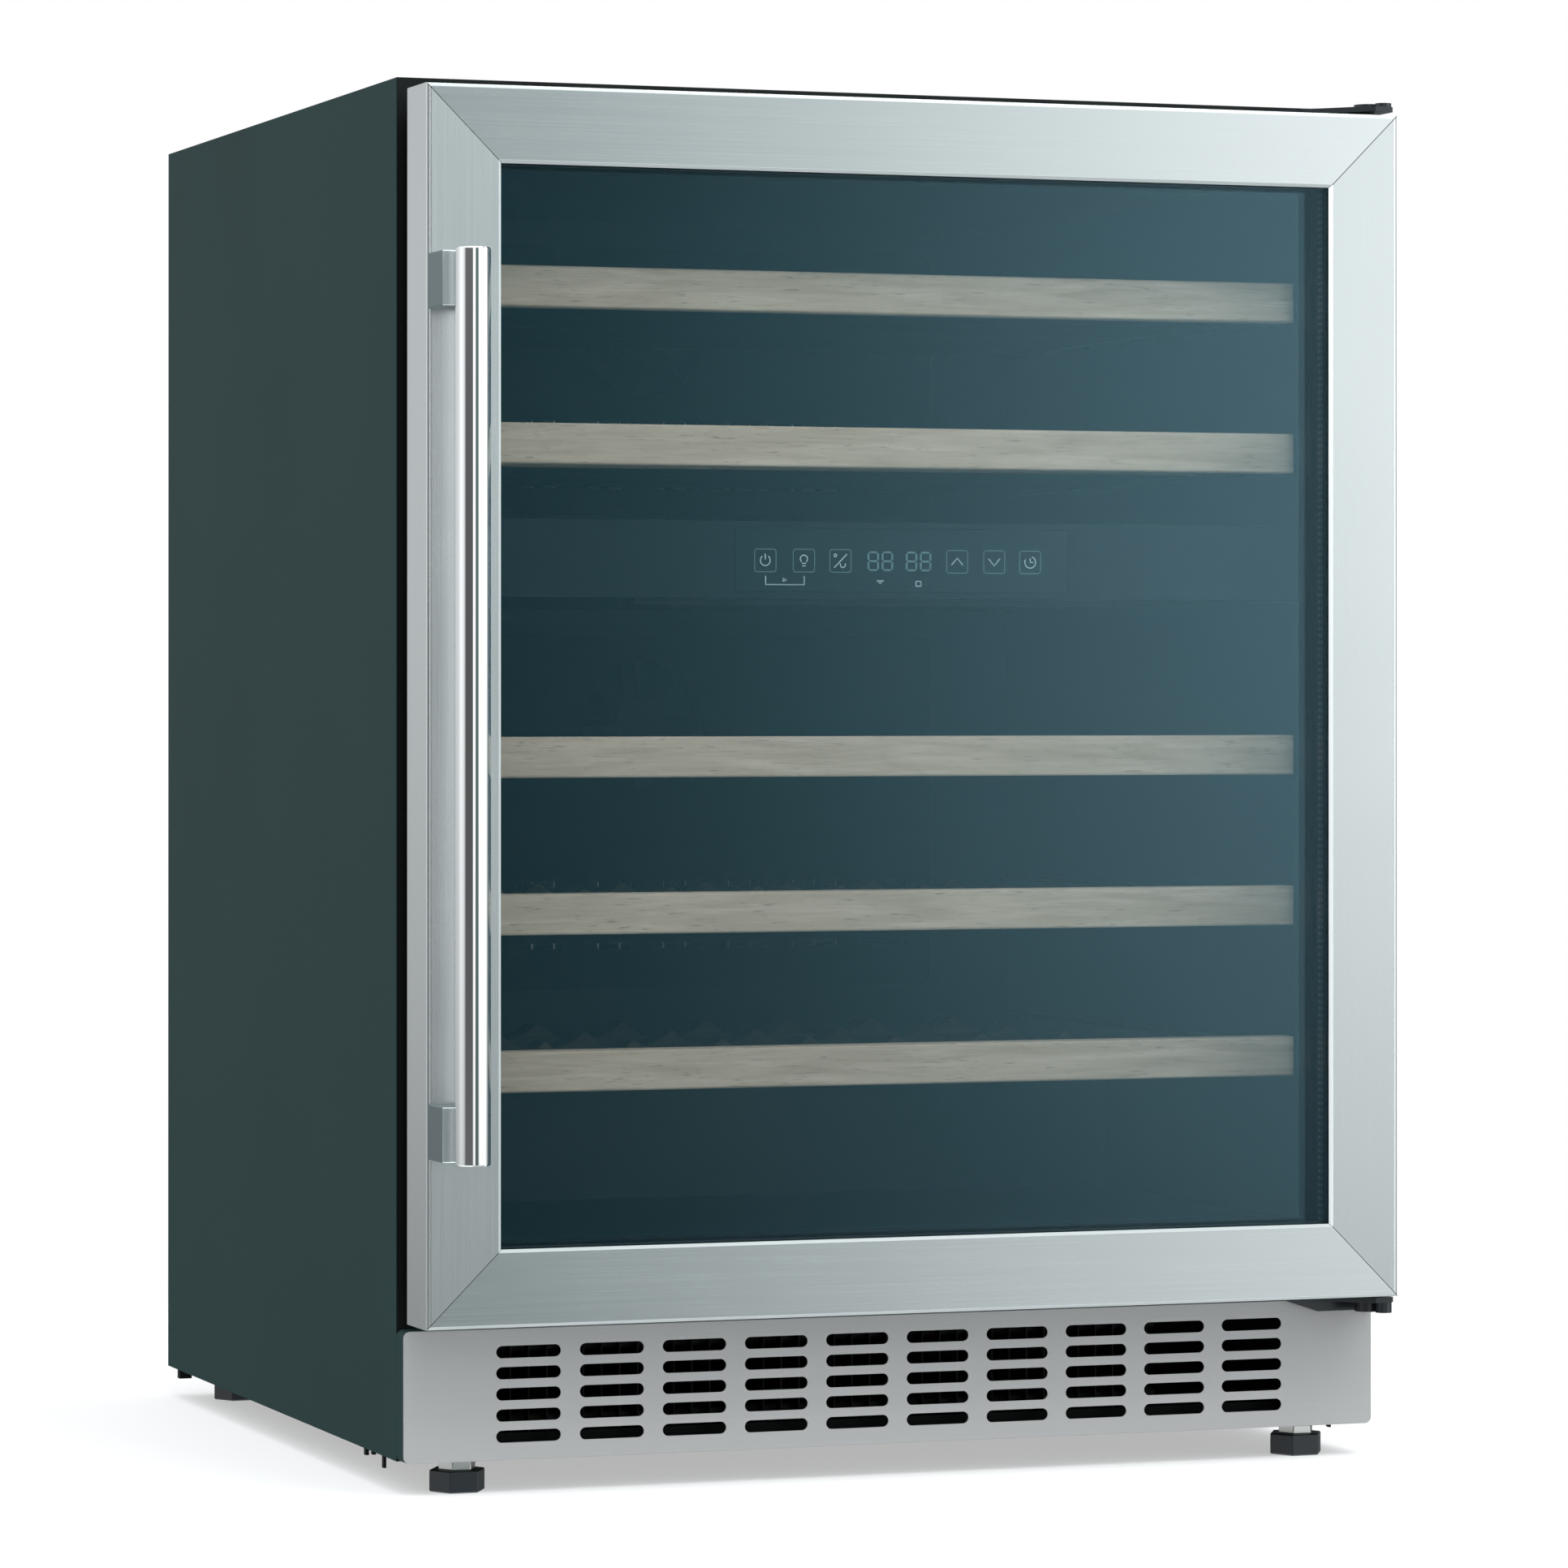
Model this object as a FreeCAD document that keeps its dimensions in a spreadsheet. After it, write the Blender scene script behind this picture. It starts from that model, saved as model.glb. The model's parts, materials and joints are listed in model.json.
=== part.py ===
import FreeCAD, Part
import math
import os
import re
import Sketcher

# Built-in wine cooler with a glass door.  Millimetres, +Z up, the floor is Z = 0,
# the front faces -Y and the origin is under the middle of the whole appliance.

NODE_LIMIT = 60
V = FreeCAD.Vector

doc = FreeCAD.newDocument("wine_cooler")
sheet = doc.addObject("Spreadsheet::Sheet", "dims")
calc = doc.addObject("Spreadsheet::Sheet", "calc")

# ---------------------------------------------------------------- driving dimensions
DIMS = [
    # cabinet
    ("cab_width", "600"), ("cab_depth", "534.5"), ("cab_top", "804"), ("foot_gap", "19"),
    ("skin", "1"), ("cab_half", "cab_width / 2"), ("gap", "15"), ("flange", "12"),
    # door
    ("door_width", "597"), ("door_thick", "40.5"), ("door_low", "98.3"), ("door_tall", "697.8"),
    ("face_wide", "42.5"), ("sheet_thick", "1.2"), ("lip_deep", "2.6"), ("mitre_gap", "0.12"),
    ("fold_radius", "2.4"), ("bevel", "1.8"), ("lip_over", "1.5"), ("line_wide", "0.5"),
    ("line_deep", "0.4"),
    # handle
    ("bar_radius", "10"), ("bar_long", "508.6"), ("bar_inset", "16"), ("bar_off", "37"),
    ("post_wide", "24"), ("post_tall", "31"), ("post_deep", "28"), ("post_inset", "1"),
    ("screw_seat", "13"),
    # planes along Y
    ("y_bar", "-(bar_off + bar_radius + door_thick + gap + cab_depth) / 2 + bar_radius"),
    ("y_door", "y_bar + bar_off"), ("y_door_rear", "y_door + door_thick"),
    ("y_cab", "y_door_rear + gap"), ("y_rear", "y_cab + cab_depth"),
    ("door_half", "door_width / 2"), ("door_top", "door_low + door_tall"),
    ("see_half", "door_half - face_wide"), ("see_low", "door_low + face_wide"),
    ("see_top", "door_top - face_wide"),
    # glazing
    ("pane", "4"), ("pane_gap", "12"), ("pane_lap", "12"), ("spacer_wide", "8"), ("spacer_show", "1.7"),
    ("y_pane", "y_door + lip_deep + 0.3"), ("y_pane_in", "y_pane + pane + pane_gap"),
    ("y_pane_rear", "y_pane_in + pane"), ("core_lap", "3.5"),
    # cavity
    ("cav_half", "266"), ("cav_low", "137.6"), ("cav_top", "764"), ("liner", "2"),
    ("y_cav_rear", "y_rear - 44.5"), ("y_step", "100"), ("step_top", "218"),
    ("deck_low", "102"), ("step_foam", "25"), ("frame_thick", "4"),
    # control band between the two zones
    ("band_low", "509.6"), ("band_top", "554.6"), ("y_band", "y_cab + 8"),
    # shelves
    ("shelf_top", "249.5"), ("shelf_pitch", "90"), ("rail_tall", "23.5"), ("rail_deep", "18"),
    ("rail_half", "259"), ("y_rail", "y_cab + 4.5"), ("deck_half", "257"), ("deck_thick", "14"),
    ("side_bar", "15"), ("y_deck_rear", "225"), ("slat_wide", "24"), ("slats", "5"),
    ("slat_step", "(y_deck_rear - y_rail - rail_deep - slat_wide) / (slats - 1)"),
    ("bottle_radius", "40"), ("bottle_pitch", "57"), ("bottle_sink", "18"),
    ("runner_in", "249"), ("runner_thick", "1.8"), ("slide_gap", "0.3"),
    # kick grille
    ("kick_top", "93.9"), ("kick_radius", "4"), ("slot_long", "38.5"), ("slot_tall", "7"),
    ("slot_pitch", "49.8"), ("slot_rise", "12"), ("slot_cols", "10"), ("slot_rows", "5"),
    ("slot_shift", "-2"),
    # feet
    ("foot_x", "261.4"), ("foot_front", "y_cab + 9.2"), ("foot_rear", "y_rear - 34"),
    ("foot_tall", "12.6"), ("foot_across", "28.6"), ("stud_radius", "5"), ("stud_top", "56"),
    ("nut_across", "19"), ("nut_tall", "5"),
    # hinges
    ("pin_x", "door_half - 9.5"), ("pin_y", "y_door + 22"), ("pin_radius", "4"),
    ("pin_fit", "0.05"), ("pin_long", "15.5"), ("arm_thick", "3"), ("arm_gap", "1"),
    ("arm_in", "236"), ("screw_radius", "2.5"), ("bush_radius", "6"),
    # gasket
    ("seal_in", "270"), ("seal_wide", "16"), ("seal_low", "117"), ("seal_top", "783.5"),
    ("seal_gap", "0.3"),
    # evaporator fans and ducts
    ("duct_half", "200"), ("duct_deep", "29"), ("duct_wall", "2.5"), ("fan_size", "92"),
    ("fan_bore", "42.5"), ("fan_deep", "22"), ("fan_tip", "40.5"), ("fan_hub", "17"),
    ("blade_deep", "fan_deep - 5"), ("fan_up_z", "690"), ("fan_low_z", "435"), ("y_duct", "y_cav_rear - duct_deep"),
    ("y_fan", "y_duct + duct_wall + 1"),
    # machine space
    ("pan_thick", "1.5"), ("pan_top", "foot_gap + pan_thick"), ("comp_x", "150"), ("comp_y", "205"),
    ("comp_radius", "62"), ("cfan_x", "18"), ("cfan_y", "205"), ("cfan_z", "88"),
    ("cfan_size", "120"), ("cfan_bore", "56"), ("cfan_tip", "53.5"), ("cfan_deep", "32"),
    ("cfan_hub", "20"), ("cblade_deep", "cfan_deep - 8"), ("inlet_x", "-190"), ("inlet_z", "62"),
]
ALIASES = [name for name, _ in DIMS]
WORD = re.compile(r"(?<![\w.])(" + "|".join(ALIASES) + r")(?!\w)")


def fill_sheet():
    """Driving numbers go in as text, worked-out ones as formulas of the ones above them."""
    for row, (name, value) in enumerate(DIMS, start=1):
        sheet.set(f"A{row}", name)
        plain = re.fullmatch(r"-?[\d.]+", value)
        sheet.set(f"B{row}", value if plain else "=" + value)
        sheet.setAlias(f"B{row}", name)
    doc.recompute()


def bound(text):
    """An expression written with bare alias names, as FreeCAD reads it from another object."""
    return WORD.sub(r"dims.\1", str(text))


def dim(name):
    """The present value of one dimension."""
    return float(sheet.get(name))


def value(text):
    """The number an expression comes to now, worked out in a cell of its own sheet."""
    calc.set("A1", "=" + bound(f"0 + {text}"))
    calc.recompute()
    return float(calc.get("A1"))


def at(obj, x="0", y="0", z="0"):
    for axis, text in zip("xyz", (x, y, z)):
        obj.setExpression(f"Placement.Base.{axis}", bound(text))
    return obj


def scratch(kind, hint):
    return doc.addObject(kind, hint)


def box(hint, x0, x1, y0, y1, z0, z1):
    """A box between two corners, each given as an expression."""
    obj = scratch("Part::Box", hint)
    for side, low, high in (("Length", x0, x1), ("Width", y0, y1), ("Height", z0, z1)):
        obj.setExpression(side, bound(f"({high}) - ({low})"))
    return at(obj, x0, y0, z0)


TURNS = {
    "x": FreeCAD.Rotation(V(0, 1, 0), 90),
    "y": FreeCAD.Rotation(V(1, 0, 0), -90),
    "z": FreeCAD.Rotation(),
}


def rod(hint, radius, length, x, y, z, axis="z"):
    """A cylinder that starts at a point and runs along +X, +Y or +Z."""
    obj = scratch("Part::Cylinder", hint)
    obj.setExpression("Radius", bound(radius))
    obj.setExpression("Height", bound(length))
    obj.Placement = FreeCAD.Placement(V(), TURNS[axis])
    return at(obj, x, y, z)


def fused(hint, parts):
    if len(parts) == 1:
        return parts[0]
    obj = scratch("Part::MultiFuse", hint)
    obj.Shapes = parts
    obj.Refine = True
    return obj


def cut(hint, base, tools):
    obj = scratch("Part::Cut", hint)
    obj.Base = base
    obj.Tool = fused(hint + "_tools", tools)
    return obj


def grouped(hint, parts):
    """Identical or loose pieces kept as separate solids of one node."""
    obj = scratch("Part::Compound", hint)
    obj.Links = parts
    return obj


# ---------------------------------------------------------------- PartDesign helpers
def new_body(hint):
    body = doc.addObject("PartDesign::Body", hint)
    doc.recompute()
    return body


def origin_item(body, role):
    return [f for f in body.Origin.OriginFeatures if f.Role == role][0]


def sketch(body, plane, offset, loops):
    """A sketch of closed loops.  A loop is ("poly", [(x, y), ...]) or ("circle", x, y, radius)
    or ("slot", x, y, length, height); every size in it is an expression."""
    sk = body.newObject("Sketcher::SketchObject", "sketch")
    sk.AttachmentSupport = [(origin_item(body, plane), "")]
    sk.MapMode = "FlatFace"
    sk.setExpression("AttachmentOffset.Base.z", bound(offset))

    def fix(kind, geo, point, text):
        index = sk.addConstraint(Sketcher.Constraint(kind, -1, 1, geo, point, value(text)))
        sk.setExpression(f"Constraints[{index}]", bound(text))

    for loop in loops:
        first = sk.GeometryCount
        if loop[0] == "poly":
            points = loop[1]
            count = len(points)
            spots = [V(value(px), value(py), 0) for px, py in points]
            for i in range(count):
                sk.addGeometry(Part.LineSegment(spots[i], spots[(i + 1) % count]))
            for i in range(count):
                nxt = first + (i + 1) % count
                sk.addConstraint(Sketcher.Constraint("Coincident", first + i, 2, nxt, 1))
            for i, (px, py) in enumerate(points):
                fix("DistanceX", first + i, 1, px)
                fix("DistanceY", first + i, 1, py)
        elif loop[0] == "circle":
            size = value(loop[3])
            sk.addGeometry(Part.Circle(V(value(loop[1]), value(loop[2]), 0), V(0, 0, 1), size))
            index = sk.addConstraint(Sketcher.Constraint("Radius", first, size))
            sk.setExpression(f"Constraints[{index}]", bound(loop[3]))
            fix("DistanceX", first, 3, loop[1])
            fix("DistanceY", first, 3, loop[2])
        else:
            _, cx, cy, length, height = loop
            radius = f"({height}) / 2"
            reach = f"(({length}) - ({height})) / 2"
            size, mid = value(radius), V(value(cx), value(cy), 0)
            step, rise, normal = V(value(reach), 0, 0), V(0, size, 0), V(0, 0, 1)
            quarter = math.pi / 2
            sk.addGeometry(Part.ArcOfCircle(Part.Circle(mid + step, normal, size), -quarter, quarter))
            sk.addGeometry(Part.ArcOfCircle(Part.Circle(mid - step, normal, size), quarter, 3 * quarter))
            sk.addGeometry(Part.LineSegment(mid + step + rise, mid - step + rise))
            sk.addGeometry(Part.LineSegment(mid - step - rise, mid + step - rise))
            a, b, top, low = first, first + 1, first + 2, first + 3
            for one, end, two, start in ((a, 2, top, 1), (top, 2, b, 1), (b, 2, low, 1), (low, 2, a, 1)):
                sk.addConstraint(Sketcher.Constraint("Tangent", one, end, two, start))
            index = sk.addConstraint(Sketcher.Constraint("Radius", a, size))
            sk.setExpression(f"Constraints[{index}]", bound(radius))
            fix("DistanceX", a, 3, f"({cx}) + {reach}")
            fix("DistanceX", b, 3, f"({cx}) - {reach}")
            fix("DistanceY", a, 3, cy)
            fix("DistanceY", b, 3, cy)
    return sk


def rect(x0, x1, y0, y1):
    return ("poly", [(x0, y0), (x1, y0), (x1, y1), (x0, y1)])


def pad(body, sk, length, reverse=False):
    feature = body.newObject("PartDesign::Pad", "pad")
    feature.Profile = sk
    feature.setExpression("Length", bound(length))
    feature.Reversed = reverse
    doc.recompute()
    return feature


def pocket(body, sk, length=None, reverse=False):
    """A cut of one depth, or right through both ways when no length is given."""
    feature = body.newObject("PartDesign::Pocket", "pocket")
    feature.Profile = sk
    if length is None:
        feature.Type = "ThroughAll"
        feature.Midplane = True
    else:
        feature.setExpression("Length", bound(length))
        feature.Reversed = reverse
    doc.recompute()
    return feature


def repeat(body, feature, sk, axis, length, count, axis2=None, length2=None, count2=None):
    """A linear pattern along one or two of the sketch's axes."""
    pattern = body.newObject("PartDesign::LinearPattern", "pattern")
    pattern.Originals = [feature]
    pattern.Direction = (sk, [axis])
    pattern.setExpression("Length", bound(length))
    pattern.setExpression("Occurrences", bound(count))
    if axis2:
        pattern.Direction2 = (sk, [axis2])
        pattern.setExpression("Length2", bound(length2))
        pattern.setExpression("Occurrences2", bound(count2))
    body.Tip = pattern
    doc.recompute()
    return pattern


def rounded(body, radius, chosen):
    """A fillet on the edges of the body's last shape that a test picks."""
    base = body.Tip
    names = [f"Edge{i}" for i, e in enumerate(base.Shape.Edges, start=1) if chosen(e)]
    fillet = body.newObject("PartDesign::Fillet", "fillet")
    fillet.Base = (base, names)
    fillet.setExpression("Radius", bound(radius))
    doc.recompute()
    return fillet


def along(edge, axis):
    """True for a straight edge parallel to one axis."""
    if not isinstance(edge.Curve, Part.Line):
        return False
    direction = edge.Curve.Direction
    return abs(abs(direction[axis]) - 1) < 1e-6


def near(value, wanted):
    return abs(value - wanted) < 0.01


NODES = {}


def node(label, obj):
    obj.Label = label
    NODES[label] = obj
    return obj


fill_sheet()


# ---------------------------------------------------------------- outer cabinet
def side_panel(label, side):
    """Folded steel side with a narrow return along its front edge."""
    body = new_body(label)
    pts = [
        ("cab_half", "y_cab"), ("cab_half - flange", "y_cab"), ("cab_half - flange", "y_cab + skin"),
        ("cab_half - skin", "y_cab + skin"), ("cab_half - skin", "y_rear"), ("cab_half", "y_rear"),
    ]
    loop = ("poly", [(f"{side} * ({x})", y) for x, y in pts])
    pad(body, sketch(body, "XY_Plane", "foot_gap", [loop]), "cab_top - foot_gap")
    node(label, body)


def top_panel():
    body = new_body("top_panel")
    loop = ("poly", [
        ("y_cab", "cab_top"), ("y_rear - skin", "cab_top"), ("y_rear - skin", "cab_top - skin"),
        ("y_cab + skin", "cab_top - skin"), ("y_cab + skin", "cab_top - 9"), ("y_cab", "cab_top - 9"),
    ])
    pad(body, sketch(body, "YZ_Plane", "-(cab_half - flange)", [loop]), "2 * (cab_half - flange)")
    flat = rect("y_cab + skin", "y_rear - skin", "cab_top - skin", "cab_top")
    pad(body, sketch(body, "YZ_Plane", "-(cab_half - skin)", [flat]), "2 * (cab_half - skin)")
    node("top_panel", body)


def rear_sheets():
    """Flat upper back sheet and the louvred cover over the machine space."""
    body = new_body("back_panel")
    sk = sketch(body, "XZ_Plane", "-y_rear", [
        rect("-(cab_half - skin)", "cab_half - skin", "step_top - liner - step_foam", "cab_top"),
    ])
    pad(body, sk, "skin")
    node("back_panel", body)

    body = new_body("machine_cover")
    sk = sketch(body, "XZ_Plane", "-y_rear", [
        rect("-(cab_half - skin)", "cab_half - skin", "foot_gap", "step_top - liner - step_foam"),
    ])
    pad(body, sk, "skin")
    slot_sk = sketch(body, "XZ_Plane", "-y_rear + 5", [("slot", "-60", "80", "52", "6")])
    slot = pocket(body, slot_sk)
    repeat(body, slot, slot_sk, "H_Axis", "4 * 68", "5", "V_Axis", "6 * 14", "7")
    hole = sketch(body, "XZ_Plane", "-y_rear + 5", [
        rect("inlet_x - 25", "inlet_x + 25", "inlet_z - 15", "inlet_z + 15"),
    ])
    pocket(body, hole)
    node("machine_cover", body)


def base_pan():
    body = new_body("base_pan")
    sk = sketch(body, "XY_Plane", "foot_gap", [
        rect("-(cab_half - skin)", "cab_half - skin", "y_cab + skin", "y_rear - skin"),
    ])
    pad(body, sk, "pan_thick")
    holes = [("circle", f"{s} * foot_x", y, "stud_radius + 0.4")
             for s in (-1, 1) for y in ("foot_front", "foot_rear")]
    pocket(body, sketch(body, "XY_Plane", "foot_gap", holes))
    # rear edge and front edge folded up
    lips = [
        rect("-(cab_half - 2 * skin)", "cab_half - 2 * skin", "y_rear - 2.5", "y_rear - skin"),
        rect("-(cab_half - flange)", "cab_half - flange", "y_cab + skin", "y_cab + 2.5"),
    ]
    pad(body, sketch(body, "XY_Plane", "foot_gap", lips), "pan_thick + 12")
    # small tabs folded down along both sides: inner and outer distance from the side, place, drop
    for deep_in, deep_out, y0, y1, drop in (
        (3, 5, "y_cab + 74", "y_cab + 78", 5), (3, 5, "y_cab + 59", "y_cab + 63", 3),
        (3, 4.5, "y_cab + 36", "y_cab + 40", 8), (4, 12, "y_rear - 15.5", "y_rear - 9.5", 7),
    ):
        tabs = [rect(f"{s} * (cab_half - {deep_in})", f"{s} * (cab_half - {deep_out})", y0, y1) for s in (-1, 1)]
        pad(body, sketch(body, "XY_Plane", "foot_gap + 0.5", tabs), f"{drop} + 0.5", reverse=True)
    node("base_pan", body)


def kick_grille():
    """Folded stainless plinth with ten columns of five slots."""
    body = new_body("kick_grille")
    sk = sketch(body, "XZ_Plane", "-y_cab", [rect("-cab_half", "cab_half", "foot_gap", "kick_top")])
    pad(body, sk, "gap")
    front = dim("y_cab") - dim("gap")
    rounded(body, "kick_radius", lambda e: along(e, 1))
    hollow = sketch(body, "XZ_Plane", "-y_cab", [
        rect("-cab_half + 2 * skin", "cab_half - 2 * skin", "foot_gap + 2 * skin", "kick_top - 2 * skin"),
    ])
    pocket(body, hollow, "gap - skin", reverse=True)
    rounded(body, "0.6", lambda e: near(e.BoundBox.YMin, front) and near(e.BoundBox.YMax, front)
            and (e.BoundBox.ZLength < 5 or e.BoundBox.XLength < 5 or e.BoundBox.XLength > 500))
    slot_sk = sketch(body, "XZ_Plane", "-y_cab + gap", [
        ("slot", "slot_shift - (slot_cols - 1) * slot_pitch / 2",
         "(foot_gap + kick_top) / 2 - (slot_rows - 1) * slot_rise / 2", "slot_long", "slot_tall"),
    ])
    slot = pocket(body, slot_sk)
    repeat(body, slot, slot_sk, "H_Axis", "(slot_cols - 1) * slot_pitch", "slot_cols",
           "V_Axis", "(slot_rows - 1) * slot_rise", "slot_rows")
    node("kick_grille", body)


def feet():
    """Hexagonal levelling feet on threaded studs."""
    for front in (True, False):
        for side in (-1, 1):
            name = "foot_" + ("front" if front else "rear") + ("_left" if side < 0 else "_right")
            y = "foot_front" if front else "foot_rear"
            body = new_body(name)
            corner = "foot_across / sqrt(3)"
            ring = [(f"{side} * foot_x + {corner} * {math.cos(math.radians(60 * i)):.9f}",
                     f"{y} + {corner} * {math.sin(math.radians(60 * i)):.9f}") for i in range(6)]
            pad(body, sketch(body, "XY_Plane", "0", [("poly", ring)]), "foot_tall")
            rounded(body, "1", lambda e: not along(e, 2))
            corner = "nut_across / sqrt(3)"
            ring = [(f"{side} * foot_x + {corner} * {math.cos(math.radians(60 * i)):.9f}",
                     f"{y} + {corner} * {math.sin(math.radians(60 * i)):.9f}") for i in range(6)]
            pad(body, sketch(body, "XY_Plane", "foot_tall", [("poly", ring)]), "nut_tall")
            stud = sketch(body, "XY_Plane", "foot_tall", [("circle", f"{side} * foot_x", y, "stud_radius")])
            pad(body, stud, "stud_top - foot_tall")
            node(name, body)


# ---------------------------------------------------------------- insulated shell
LINER_IN = [
    ("y_cab + frame_thick", "cav_low"), ("y_step", "cav_low"), ("y_step", "step_top"),
    ("y_cav_rear", "step_top"), ("y_cav_rear", "cav_top"), ("y_cab + frame_thick", "cav_top"),
]
LINER_OUT = [
    ("y_cab + frame_thick", "cav_low - liner"), ("y_step + liner", "cav_low - liner"),
    ("y_step + liner", "step_top - liner"), ("y_cav_rear + liner", "step_top - liner"),
    ("y_cav_rear + liner", "cav_top + liner"), ("y_cab + frame_thick", "cav_top + liner"),
]
FOAM = [
    ("y_cab + frame_thick", "deck_low"), ("y_step + liner - step_foam", "deck_low"),
    ("y_step + liner - step_foam", "step_top - liner - step_foam"),
    ("y_rear - skin", "step_top - liner - step_foam"), ("y_rear - skin", "cab_top - skin"),
    ("y_cab + frame_thick", "cab_top - skin"),
]


def insulated_shell():
    body = new_body("inner_liner")
    wide = "cav_half + liner"
    pad(body, sketch(body, "YZ_Plane", f"-({wide})", [("poly", LINER_OUT)]), f"2 * ({wide})")
    inner = sketch(body, "YZ_Plane", "-cav_half", [("poly", LINER_IN)])
    pocket(body, inner, "2 * cav_half", reverse=True)
    node("inner_liner", body)

    body = new_body("foam_insulation")
    half = "cab_half - skin"
    pad(body, sketch(body, "YZ_Plane", f"-({half})", [("poly", FOAM)]), f"2 * ({half})")
    hollow = sketch(body, "YZ_Plane", f"-({wide})", [("poly", LINER_OUT)])
    pocket(body, hollow, f"2 * ({wide})", reverse=True)
    node("foam_insulation", body)

    body = new_body("front_frame")
    edge = "cab_half - flange"
    ring = [
        rect(f"-({edge})", edge, "deck_low - 2", "cab_top - 9"),
        rect("-cav_half", "cav_half", "cav_low", "cav_top"),
    ]
    pad(body, sketch(body, "XZ_Plane", "-(y_cab + frame_thick)", ring), "frame_thick")
    holes = [("circle", x, z, "screw_radius + 0.1") for x in HINGE_SCREWS for z in (SCREW_LOW, SCREW_TOP)]
    pocket(body, sketch(body, "XZ_Plane", "-y_cab", holes))
    node("front_frame", body)


HINGE_SCREWS = ("arm_in + 9", "arm_in + 26", "arm_in + 43")
SCREW_LOW = "deck_low + 4.5"
SCREW_TOP = "cab_top - 13.5"


# ---------------------------------------------------------------- zone divider and controls
def divider_and_controls():
    body = new_body("zone_divider")
    half = "cav_half"
    pad(body, sketch(body, "XZ_Plane", "-y_cav_rear", [rect(f"-{half}", half, "band_low", "band_top")]),
        "y_cav_rear - y_band - 3")
    bay = sketch(body, "XZ_Plane", "-(y_band + 3)", [rect("-115", "125", "band_low + 5", "band_top - 5")])
    pocket(body, bay, "18")
    node("zone_divider", body)

    body = new_body("control_fascia")
    sk = sketch(body, "XZ_Plane", "-(y_band + 3)", [rect(f"-{half}", half, "band_low", "band_top")])
    pad(body, sk, "3")
    seat = sketch(body, "XZ_Plane", "-y_band", [rect("-94", "114", "band_low + 4", "band_top - 4")])
    pocket(body, seat, "1.2")
    rounded(body, "0.8", lambda e: along(e, 0) and e.Length > 400 and near(e.BoundBox.YMin, dim("y_band")))
    node("control_fascia", body)

    body = new_body("control_lens")
    sk = sketch(body, "XZ_Plane", "-(y_band + 1.2)", [rect("-93.8", "113.8", "band_low + 4.2", "band_top - 4.2")])
    pad(body, sk, "1.2")
    node("control_lens", body)

    board = box("pcb", "-88", "108", "y_band + 8", "y_band + 9.6", "band_low + 7", "band_top - 7")
    shown = [box("digits", f"{x} - 10", f"{x} + 10", "y_band + 3.4", "y_band + 8",
                 "band_low + 14", "band_low + 30") for x in ("-2", "22")]
    chips = [box("chip", f"{x}", f"{x} + 9", "y_band + 9.6", "y_band + 12",
                 "band_low + 16", "band_low + 25") for x in ("-60", "50", "80")]
    node("control_board", fused("board", [board] + shown + chips))


def led_lights():
    """A lamp strip under the ceiling of each zone."""
    strips = []
    for z in ("cav_top", "band_low"):
        strips.append(box("strip", "-150", "150", "y_cab + 24", "y_cab + 36", f"{z} - 4", z))
    node("led_lights", grouped("strips", strips))


# ---------------------------------------------------------------- shelves and their runners
SHELF_LEVELS = (("shelf_1", 5), ("shelf_2", 4), ("shelf_3", 2), ("shelf_4", 1), ("shelf_5", 0))


def shelf_low(level):
    return f"(shelf_top + {level} * shelf_pitch - rail_tall)"


def shelf(name, level):
    low = shelf_low(level)
    body = new_body(name + "_rail")
    sk = sketch(body, "XZ_Plane", "-(y_rail + rail_deep)", [
        rect("-rail_half", "rail_half", low, f"{low} + rail_tall"),
    ])
    pad(body, sk, "rail_deep")
    rounded(body, "1.6", lambda e: near(e.BoundBox.YMin, dim("y_rail")) and near(e.BoundBox.YMax, dim("y_rail")))
    node(name + "_rail", body)

    # side bars with scalloped cross slats that the bottles lie in
    body = new_body(name + "_deck")
    inner = "deck_half - side_bar"
    front = "y_rail + rail_deep"
    slab = sketch(body, "XY_Plane", f"{low} + 2", [rect(f"-({inner})", inner, front, "y_deck_rear")])
    pad(body, slab, "deck_thick")
    hollow = sketch(body, "XZ_Plane", "0", [
        ("circle", "-4 * bottle_pitch", f"{low} + rail_tall - bottle_sink + bottle_radius", "bottle_radius"),
    ])
    scallop = pocket(body, hollow)
    repeat(body, scallop, hollow, "H_Axis", "8 * bottle_pitch", "9")
    opening = sketch(body, "XY_Plane", low, [
        rect(f"-({inner})", inner, f"{front} + slat_wide", f"{front} + slat_step"),
    ])
    window = pocket(body, opening)
    repeat(body, window, opening, "V_Axis", "(slats - 2) * slat_step", "slats - 1")
    bars = sketch(body, "XY_Plane", f"{low} + 2", [
        rect("-deck_half", f"-({inner})", front, "y_deck_rear"),
        rect(inner, "deck_half", front, "y_deck_rear"),
    ])
    pad(body, bars, "deck_thick")
    node(name + "_deck", body)


def shelf_runners():
    """Channels on the liner walls that the side bars of the shelves slide in."""
    runners = []
    for _, level in SHELF_LEVELS:
        low = shelf_low(level)
        for side in (-1, 1):
            body = new_body("runner")
            base = f"{low} + 2 - slide_gap"
            roof = f"{low} + 2 + deck_thick + slide_gap"
            pts = [
                ("cav_half", f"{base} - runner_thick"), ("runner_in", f"{base} - runner_thick"),
                ("runner_in", base), ("cav_half - runner_thick", base),
                ("cav_half - runner_thick", roof), ("runner_in", roof),
                ("runner_in", f"{roof} + runner_thick"), ("cav_half", f"{roof} + runner_thick"),
            ]
            loop = ("poly", [(f"{side} * ({x})", z) for x, z in pts])
            pad(body, sketch(body, "XZ_Plane", "-y_deck_rear", [loop]), "y_deck_rear - y_cab - 27")
            runners.append(body)
    node("shelf_runners", grouped("runners", runners))


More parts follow.
